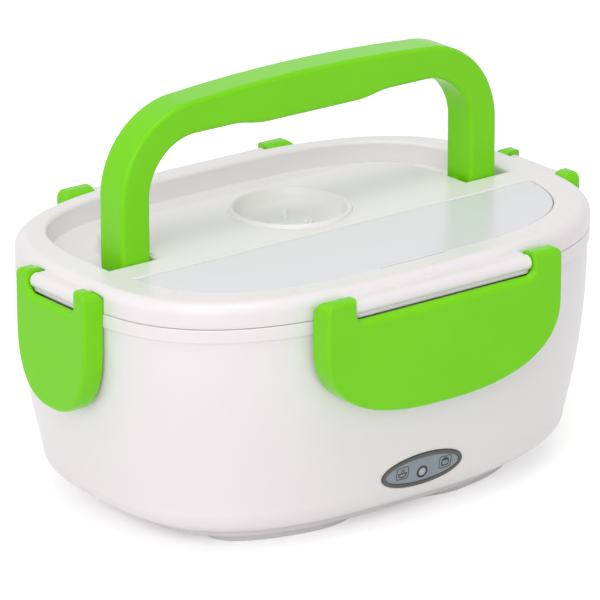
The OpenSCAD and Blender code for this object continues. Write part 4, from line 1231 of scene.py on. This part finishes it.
# %% Mould the clips
for side, (turn, reach, half, ear, drop) in clips.items():
    place = at_clip(turn, reach)
    flap = clip_body(side + " clip", half, ear, drop)
    shelf = clip_top - 4
    hollow_points = lower_curve(half, drop, clip_t) + [(half - clip_t, shelf), (clip_t - half, shelf)]
    inner_face = ear_r - clip_t
    hollow = solid("hollow", [[(x, y, z) for x, z in hollow_points] for y in (-9, inner_face)])
    nx = half - ear
    gap = block("gap", (-nx, -9, shelf - 0.5), (nx, inner_face, ear_r + 1))
    rib_z = band_z - clip_z - 2.4
    rib = block("rib", (-nx * 0.9, 0.25 - clip_out, rib_z), (nx * 0.9, inner_face + 0.4, rib_z + 2))
    studs = [rod("stud", stud_r, *sorted((s * (nx - stud_l), s * (nx + 1))), 0.2) for s in (-1, 1)]
    work(flap, cuts=[hollow, gap])
    work(flap, adds=[rib] + studs)
    move(flap, place)
    band_cut = prism("band cut", plan(-0.3), 0, rim_z)
    work(flap, cuts=[band_cut])
    shade(flap)
    attach(flap, "clip_" + side, green, "green_plastic", side + "_clip")

# %% [markdown]
# ## The clear cover and the vent plug
#
# The cover over the compartment is a thin sheet of frosted clear plastic. Real glass shading
# would need light to bend through both faces and the well below would go dark, so the sheet
# is a hazy film instead: mostly a pale blue-white skin, with some of the well showing through.

# %% Make the frosted plastic
BENDING = 1.49


def frosted(name, light, dark, rough, haze):
    """Clear plastic with a haze that hides the given share."""
    m = plastic(name, light, dark, gloss=rough, peel_mm=0.8, cloud_mm=20)
    skin = m.node_tree.nodes["Principled BSDF"]
    skin.inputs["Alpha"].default_value = haze
    skin.inputs["IOR"].default_value = BENDING
    return m


print("clear plastic bends light with an index of", BENDING)

# %% [markdown]
# The cover's outline is the front part of the ring's inner edge, cut off straight at the
# bridge. A tab at the front lifts it, and two short pins at the rear corners are its hinge.

# %% Mould the clear cover
clear = frosted("frosted clear plastic", (246, 243, 250), (243, 240, 248), (0.18, 0.25), 0.86)
cover_plan = front_plan(clear_l, clear_b, -bridge_front + clear_gap + 0.1)
cover = climb("cover", cover_plan,
              quarter(clear_z, 0, 0.4, 3, up=False) + quarter(clear_z + clear_t, 0, 0.5, 4))
tab_rows = quarter(clear_z + clear_t + 0.6, 0, 0.5, 4)
tab_half = 15
tab_rear = 2.4 - clear_b
tab_plan = [(-tab_half, -clear_b), (tab_half, -clear_b), (tab_half, tab_rear), (-tab_half, tab_rear)]
tab = climb("tab", tab_plan, [(clear_hinge_z, 0)] + tab_rows)
cover_pins = []
for s in (-1, 1):
    pin = prism("pin", disc(clear_pin_r, count=32), -3, 1.5)
    cover_pins.append(along_x(pin, s * clear_hinge_x, clear_hinge_y, clear_hinge_z, s))
work(cover, adds=[tab] + cover_pins)
shade(cover)
attach(cover, "cover", clear, "clear_cover", "compartment_cover")

# %% [markdown]
# The plug is a flat silicone cap with a small upright nub to pull it by. Silicone is duller
# than the lid around it and lets a little light into its surface.

# %% Mould the vent plug
rubber = plastic("clear silicone", (240, 239, 238), (236, 235, 234), gloss=(0.34, 0.42), scatter=0.3)
plug_z = dish_floor + 0.05
cap_r = 9
cap_h = 1.2
stem_r = vent_r - 0.06
stem_z = plug_z - 4.4
plug_line = [(0.01, stem_z), (stem_r - 0.44, stem_z), (stem_r, stem_z + 0.5), (stem_r, plug_z)]
cap_edge = quarter(plug_z, 0, 0.25, 2, up=False) + quarter(plug_z + cap_h, 0, 0.8, 5)
plug_line += [(cap_r - i, z) for z, i in cap_edge]
plug = revolve("plug", plug_line + [(0.01, plug_z + cap_h)], 64)
nubs = []
for x, y, r, tall in ((-1.5, 1.5, 1.2, 4.4), (2.3, -6.6, 1, 1.3)):
    nub = climb("nub", disc(r, count=32), [(plug_z + 0.6, 0)] + quarter(plug_z + cap_h + tall, 0, r * 0.8, 6))
    nubs.append(move(nub, Matrix.Translation((x, y, 0))))
work(plug, adds=nubs)
move(plug, Matrix.Translation((0, dish_y, 0)))
shade(plug)
attach(plug, "plug", rubber, "plug_silicone", "vent_plug")

# %% [markdown]
# ## The indicator panel
#
# The panel is a dark oval rim around a blue-grey face, with a small round light in the middle
# of a black ring. Two plain signs stand beside it: a steaming bowl and a closed box.

# %% Build the panel's rim
rim_grey = plastic("grey rim", (86, 86, 84), (76, 76, 74), gloss=(0.3, 0.42), cloud_mm=8)
face_blue = plastic("blue-grey face", (142, 152, 161), (132, 142, 151), gloss=(0.32, 0.44), cloud_mm=6)
ink = plastic("black ink", (28, 29, 31), (22, 23, 25), gloss=(0.4, 0.5), cloud_mm=3)
rim_rows = [(-panel_sunk, 0)] + quarter(panel_proud, 0, 0.5, 4)
rim_rows += [(panel_proud, panel_rim - 0.5), (panel_proud - 0.15, panel_rim - 0.15),
             (panel_proud - 0.5, panel_rim), (-panel_sunk, panel_rim)]
bezel = move(solid("bezel", [level(oval(i), z) for z, i in rim_rows], ring_closed=True), on_panel)
shade(bezel)
attach(bezel, "base", rim_grey, "bezel_grey", "panel_bezel")

# %% [markdown]
# The face lies inside the rim, a little lower, and the lens comes through a hole in it. The
# lens is a short rod with a shallow dome, of a hazy plastic that is greyer than the cover's.

# %% Set in the face and the lens
face_top = panel_proud / 2
face_in = panel_rim + 0.05
face_rows = [(-panel_sunk, face_in), (face_top - 0.1, face_in), (face_top, face_in + 0.1)]
plate = solid("panel face", [level(oval(i), z) for z, i in face_rows])
work(plate, cuts=[prism("hole", disc(lens_r + 0.06, 0, lens_z), -3, 3)])
move(plate, on_panel)
shade(plate)
attach(plate, "base", face_blue, "panel_slate", "panel_face")

lens_plastic = frosted("lens", (190, 193, 198), (182, 185, 190), (0.12, 0.2), 0.9)
lens_low = -3
lens_dome = 0.5
lens_line = [(0.01, lens_low), (lens_r, lens_low), (lens_r, face_top)]
lens_line += [(lens_r * math.cos(a), face_top + lens_dome * math.sin(a)) for a in bend(6)[1:-1]]
lens_line += [(0.01, face_top + lens_dome)]
lens = move(revolve("lens", lens_line, 48), on_panel @ Matrix.Translation((0, lens_z, 0)))
shade(lens)
attach(lens, "base", lens_plastic, "lens", "indicator_lens")

# %% [markdown]
# The ring and the signs are printed, so they are a tenth of a millimetre thick and sit on the
# face. Each is a flat band drawn around a centre line.

# %% Print the signs
PRINT = 0.12


def stroke(points, width, closed=False):
    """A printed line of a given width through points on the panel's face."""
    if closed:
        outer = grown(points, width / 2)
        inner = grown(points, -width / 2)
        rings = [level(outer, face_top - 0.02), level(outer, face_top + PRINT),
                 level(inner, face_top + PRINT), level(inner, face_top - 0.02)]
        return solid("sign", rings, ring_closed=True)
    left = []
    right = []
    for k, p in enumerate(points):
        a = Vector(points[max(0, k - 1)])
        b = Vector(points[min(len(points) - 1, k + 1)])
        d = (b - a).normalized()
        left.append((p[0] - d.y * width / 2, p[1] + d.x * width / 2))
        right.append((p[0] + d.y * width / 2, p[1] - d.x * width / 2))
    return prism("sign", left + right[::-1], face_top - 0.02, face_top + PRINT)


bowl_x = -9.8
box_x = 11.0
sign_y = 0.4
signs = [stroke(disc(2.15, 0, lens_z), 0.8, closed=True)]
bowl = [(bowl_x + 1.9 * math.cos(a), sign_y - 0.1 + 1.7 * math.sin(a)) for a in
        [math.pi + math.pi * k / 12 for k in range(13)]]
signs.append(stroke(bowl + [(bowl_x + 1.85, sign_y)], 0.36, closed=True))
for dx in (-0.6, 0.4):
    curl = [(bowl_x + dx + 0.18 * math.sin(3 * t), sign_y + 0.5 + t) for t in [0.25 * k for k in range(6)]]
    signs.append(stroke(curl, 0.3))
signs.append(stroke(rounded_box(box_x, sign_y - 0.3, 3.2, 2.2, 0.4), 0.36, closed=True))
signs.append(stroke([(box_x - 1.5, sign_y + 1.2), (box_x + 1.5, sign_y + 1.2)], 0.36))
signs.append(stroke([(box_x - 0.6, sign_y + 1.2), (box_x - 0.6, sign_y + 1.8),
                     (box_x + 0.6, sign_y + 1.8), (box_x + 0.6, sign_y + 1.2)], 0.3))
for x in (bowl_x, box_x):
    signs.append(stroke(rounded_box(x, sign_y, 5.6, 5, 0.8), 0.2, closed=True))
names = ["light ring", "bowl", "steam 1", "steam 2", "box", "box lid", "box grip", "frame 1", "frame 2"]
for name, sign in zip(names, signs):
    move(sign, on_panel)
    sign.name = name
    attach(sign, "base", ink, "bezel_grey")

# %% [markdown]
# ## The studio
#
# The picture was taken from a little above, with a long lens, on a white sweep. A white floor
# lit until it is white would also flood the box with light from below. So its paper is an even
# pale grey, with a glow that only shows where the camera looks at it directly.

# %% Lay the floor
def seen_directly(nodes, links):
    """1 where the camera, a reflection or a clear piece looks straight at the backdrop."""
    path = nodes.new("ShaderNodeLightPath")
    a = nodes.new("ShaderNodeMath")
    a.operation = "MAXIMUM"
    links.new(path.outputs["Is Camera Ray"], a.inputs[0])
    links.new(path.outputs["Is Glossy Ray"], a.inputs[1])
    b = nodes.new("ShaderNodeMath")
    b.operation = "MAXIMUM"
    links.new(a.outputs[0], b.inputs[0])
    links.new(path.outputs["Is Transmission Ray"], b.inputs[1])
    return b.outputs[0]


def scaled(nodes, links, source, gain, base=0):
    """A value times a gain, plus a base."""
    m = nodes.new("ShaderNodeMath")
    m.operation = "MULTIPLY_ADD"
    m.inputs[1].default_value = gain
    m.inputs[2].default_value = base
    links.new(source, m.inputs[0])
    return m.outputs[0]


PAPER_GLOW = 0.4


def studio_paper():
    """The floor's pale paper, with a glow for the camera alone."""
    m = bpy.data.materials.new("studio paper")
    m.use_nodes = True
    nodes = m.node_tree.nodes
    links = m.node_tree.links
    skin = nodes["Principled BSDF"]
    skin.inputs["Base Color"].default_value = (0.9, 0.9, 0.9, 1)
    skin.inputs["Roughness"].default_value = 0.9
    skin.inputs["Specular IOR Level"].default_value = 0.1
    glow = nodes.new("ShaderNodeEmission")
    links.new(scaled(nodes, links, seen_directly(nodes, links), PAPER_GLOW), glow.inputs["Strength"])
    both = nodes.new("ShaderNodeAddShader")
    links.new(skin.outputs[0], both.inputs[0])
    links.new(glow.outputs[0], both.inputs[1])
    links.new(both.outputs[0], nodes["Material Output"].inputs["Surface"])
    return m


FLOOR_HALF = 6
floor_mesh = bpy.data.meshes.new("floor")
floor_corners = [(x * FLOOR_HALF, y * FLOOR_HALF, 0) for x, y in ((-1, -1), (1, -1), (1, 1), (-1, 1))]
floor_mesh.from_pydata(floor_corners, [], [(0, 1, 2, 3)])
floor = bpy.data.objects.new("floor", floor_mesh)
bpy.context.scene.collection.objects.link(floor)
floor_mesh.materials.append(studio_paper())
print("floor", 2 * FLOOR_HALF, "m square")

# %% [markdown]
# The camera's angle, distance and lens follow the photograph. The lens is given as a focal
# length in pixels, and a small shift puts the box where it is in the picture.

# %% Place the camera
camera_data = bpy.data.cameras.new("camera")
camera = bpy.data.objects.new("camera", camera_data)
bpy.context.scene.collection.objects.link(camera)
bpy.context.scene.camera = camera
AZIMUTH = -37.47
ELEVATION = 19.56
ROLL = -0.14
DISTANCE = 2.045
FOCAL = 5251.6  # in pixels of a picture 600 wide, as are the two below
CENTRE_X = 305.28
CENTRE_Y = 299.18
PICTURE = 600
target = Vector((0, 0, 0.0713))
az = math.radians(AZIMUTH)
el = math.radians(ELEVATION)
away = Vector((math.sin(az) * math.cos(el), -math.cos(az) * math.cos(el), math.sin(el)))
camera.location = target + away * DISTANCE
aim = (-away).to_track_quat("-Z", "Y").to_matrix().to_4x4()
roll = Matrix.Rotation(math.radians(ROLL), 4, "Z")
camera.matrix_world = Matrix.Translation(camera.location) @ aim @ roll
camera_data.sensor_width = 36
camera_data.lens = camera_data.sensor_width * FOCAL / PICTURE
camera_data.shift_x = 0.5 - CENTRE_X / PICTURE
camera_data.shift_y = CENTRE_Y / PICTURE - 0.5
camera_data.clip_end = 20
print("camera", round(camera_data.lens), "mm lens,", round(DISTANCE, 2), "m away")

# %% [markdown]
# A large soft lamp on the upper left gives the broad light. A smaller one overhead fills the
# top of the lid and draws thin bright lines along rounded edges, and a weak one at the left
# lifts the end of the box.

# %% Hang the lamps
def lamp(name, place, aim_at, size, watts):
    """A soft rectangular lamp, turned to a point."""
    data = bpy.data.lights.new(name, "AREA")
    data.shape = "RECTANGLE"
    data.size = size[0]
    data.size_y = size[1]
    data.energy = watts
    obj = bpy.data.objects.new(name, data)
    bpy.context.scene.collection.objects.link(obj)
    obj.location = place
    obj.rotation_euler = (Vector(aim_at) - Vector(place)).to_track_quat("-Z", "Y").to_euler()
    print(name, "lamp:", watts, "W,", size[0], "x", size[1], "m")


box_middle = (0, 0, 0.06)
lamp("key", (-1.6, -1.6, 1.15), box_middle, (1.5, 1.2), 13.5)
lamp("top", (-0.3, -0.5, 2.0), box_middle, (1.3, 1.0), 12.5)
lamp("side", (-2.2, 0.2, 0.7), box_middle, (0.8, 0.8), 2)

# %% [markdown]
# The room gives the rest of the light, a shade less of it from the right. Where the camera, a
# reflection or a clear piece looks straight at it, it is plain white, as the floor is.

# %% Light the background
SKY = 0.56
SHADE = 0.2
world = bpy.data.worlds.new("studio")
bpy.context.scene.world = world
world.use_nodes = True
sky = world.node_tree.nodes["Background"]
sky.inputs["Color"].default_value = (1, 1, 1, 1)
sky_tree = world.node_tree
links = sky_tree.links
way = sky_tree.nodes.new("ShaderNodeTexCoord")
axes = sky_tree.nodes.new("ShaderNodeSeparateXYZ")
links.new(way.outputs["Generated"], axes.inputs[0])
fill = scaled(sky_tree.nodes, links, axes.outputs["X"], -SKY * SHADE, SKY)
brighter = sky_tree.nodes.new("ShaderNodeMath")
brighter.operation = "MAXIMUM"
links.new(seen_directly(sky_tree.nodes, links), brighter.inputs[0])
links.new(fill, brighter.inputs[1])
links.new(brighter.outputs[0], sky.inputs["Strength"])
bpy.context.scene.view_settings.view_transform = "Standard"
print("room light", SKY, "with", SHADE, "of it less from the right")
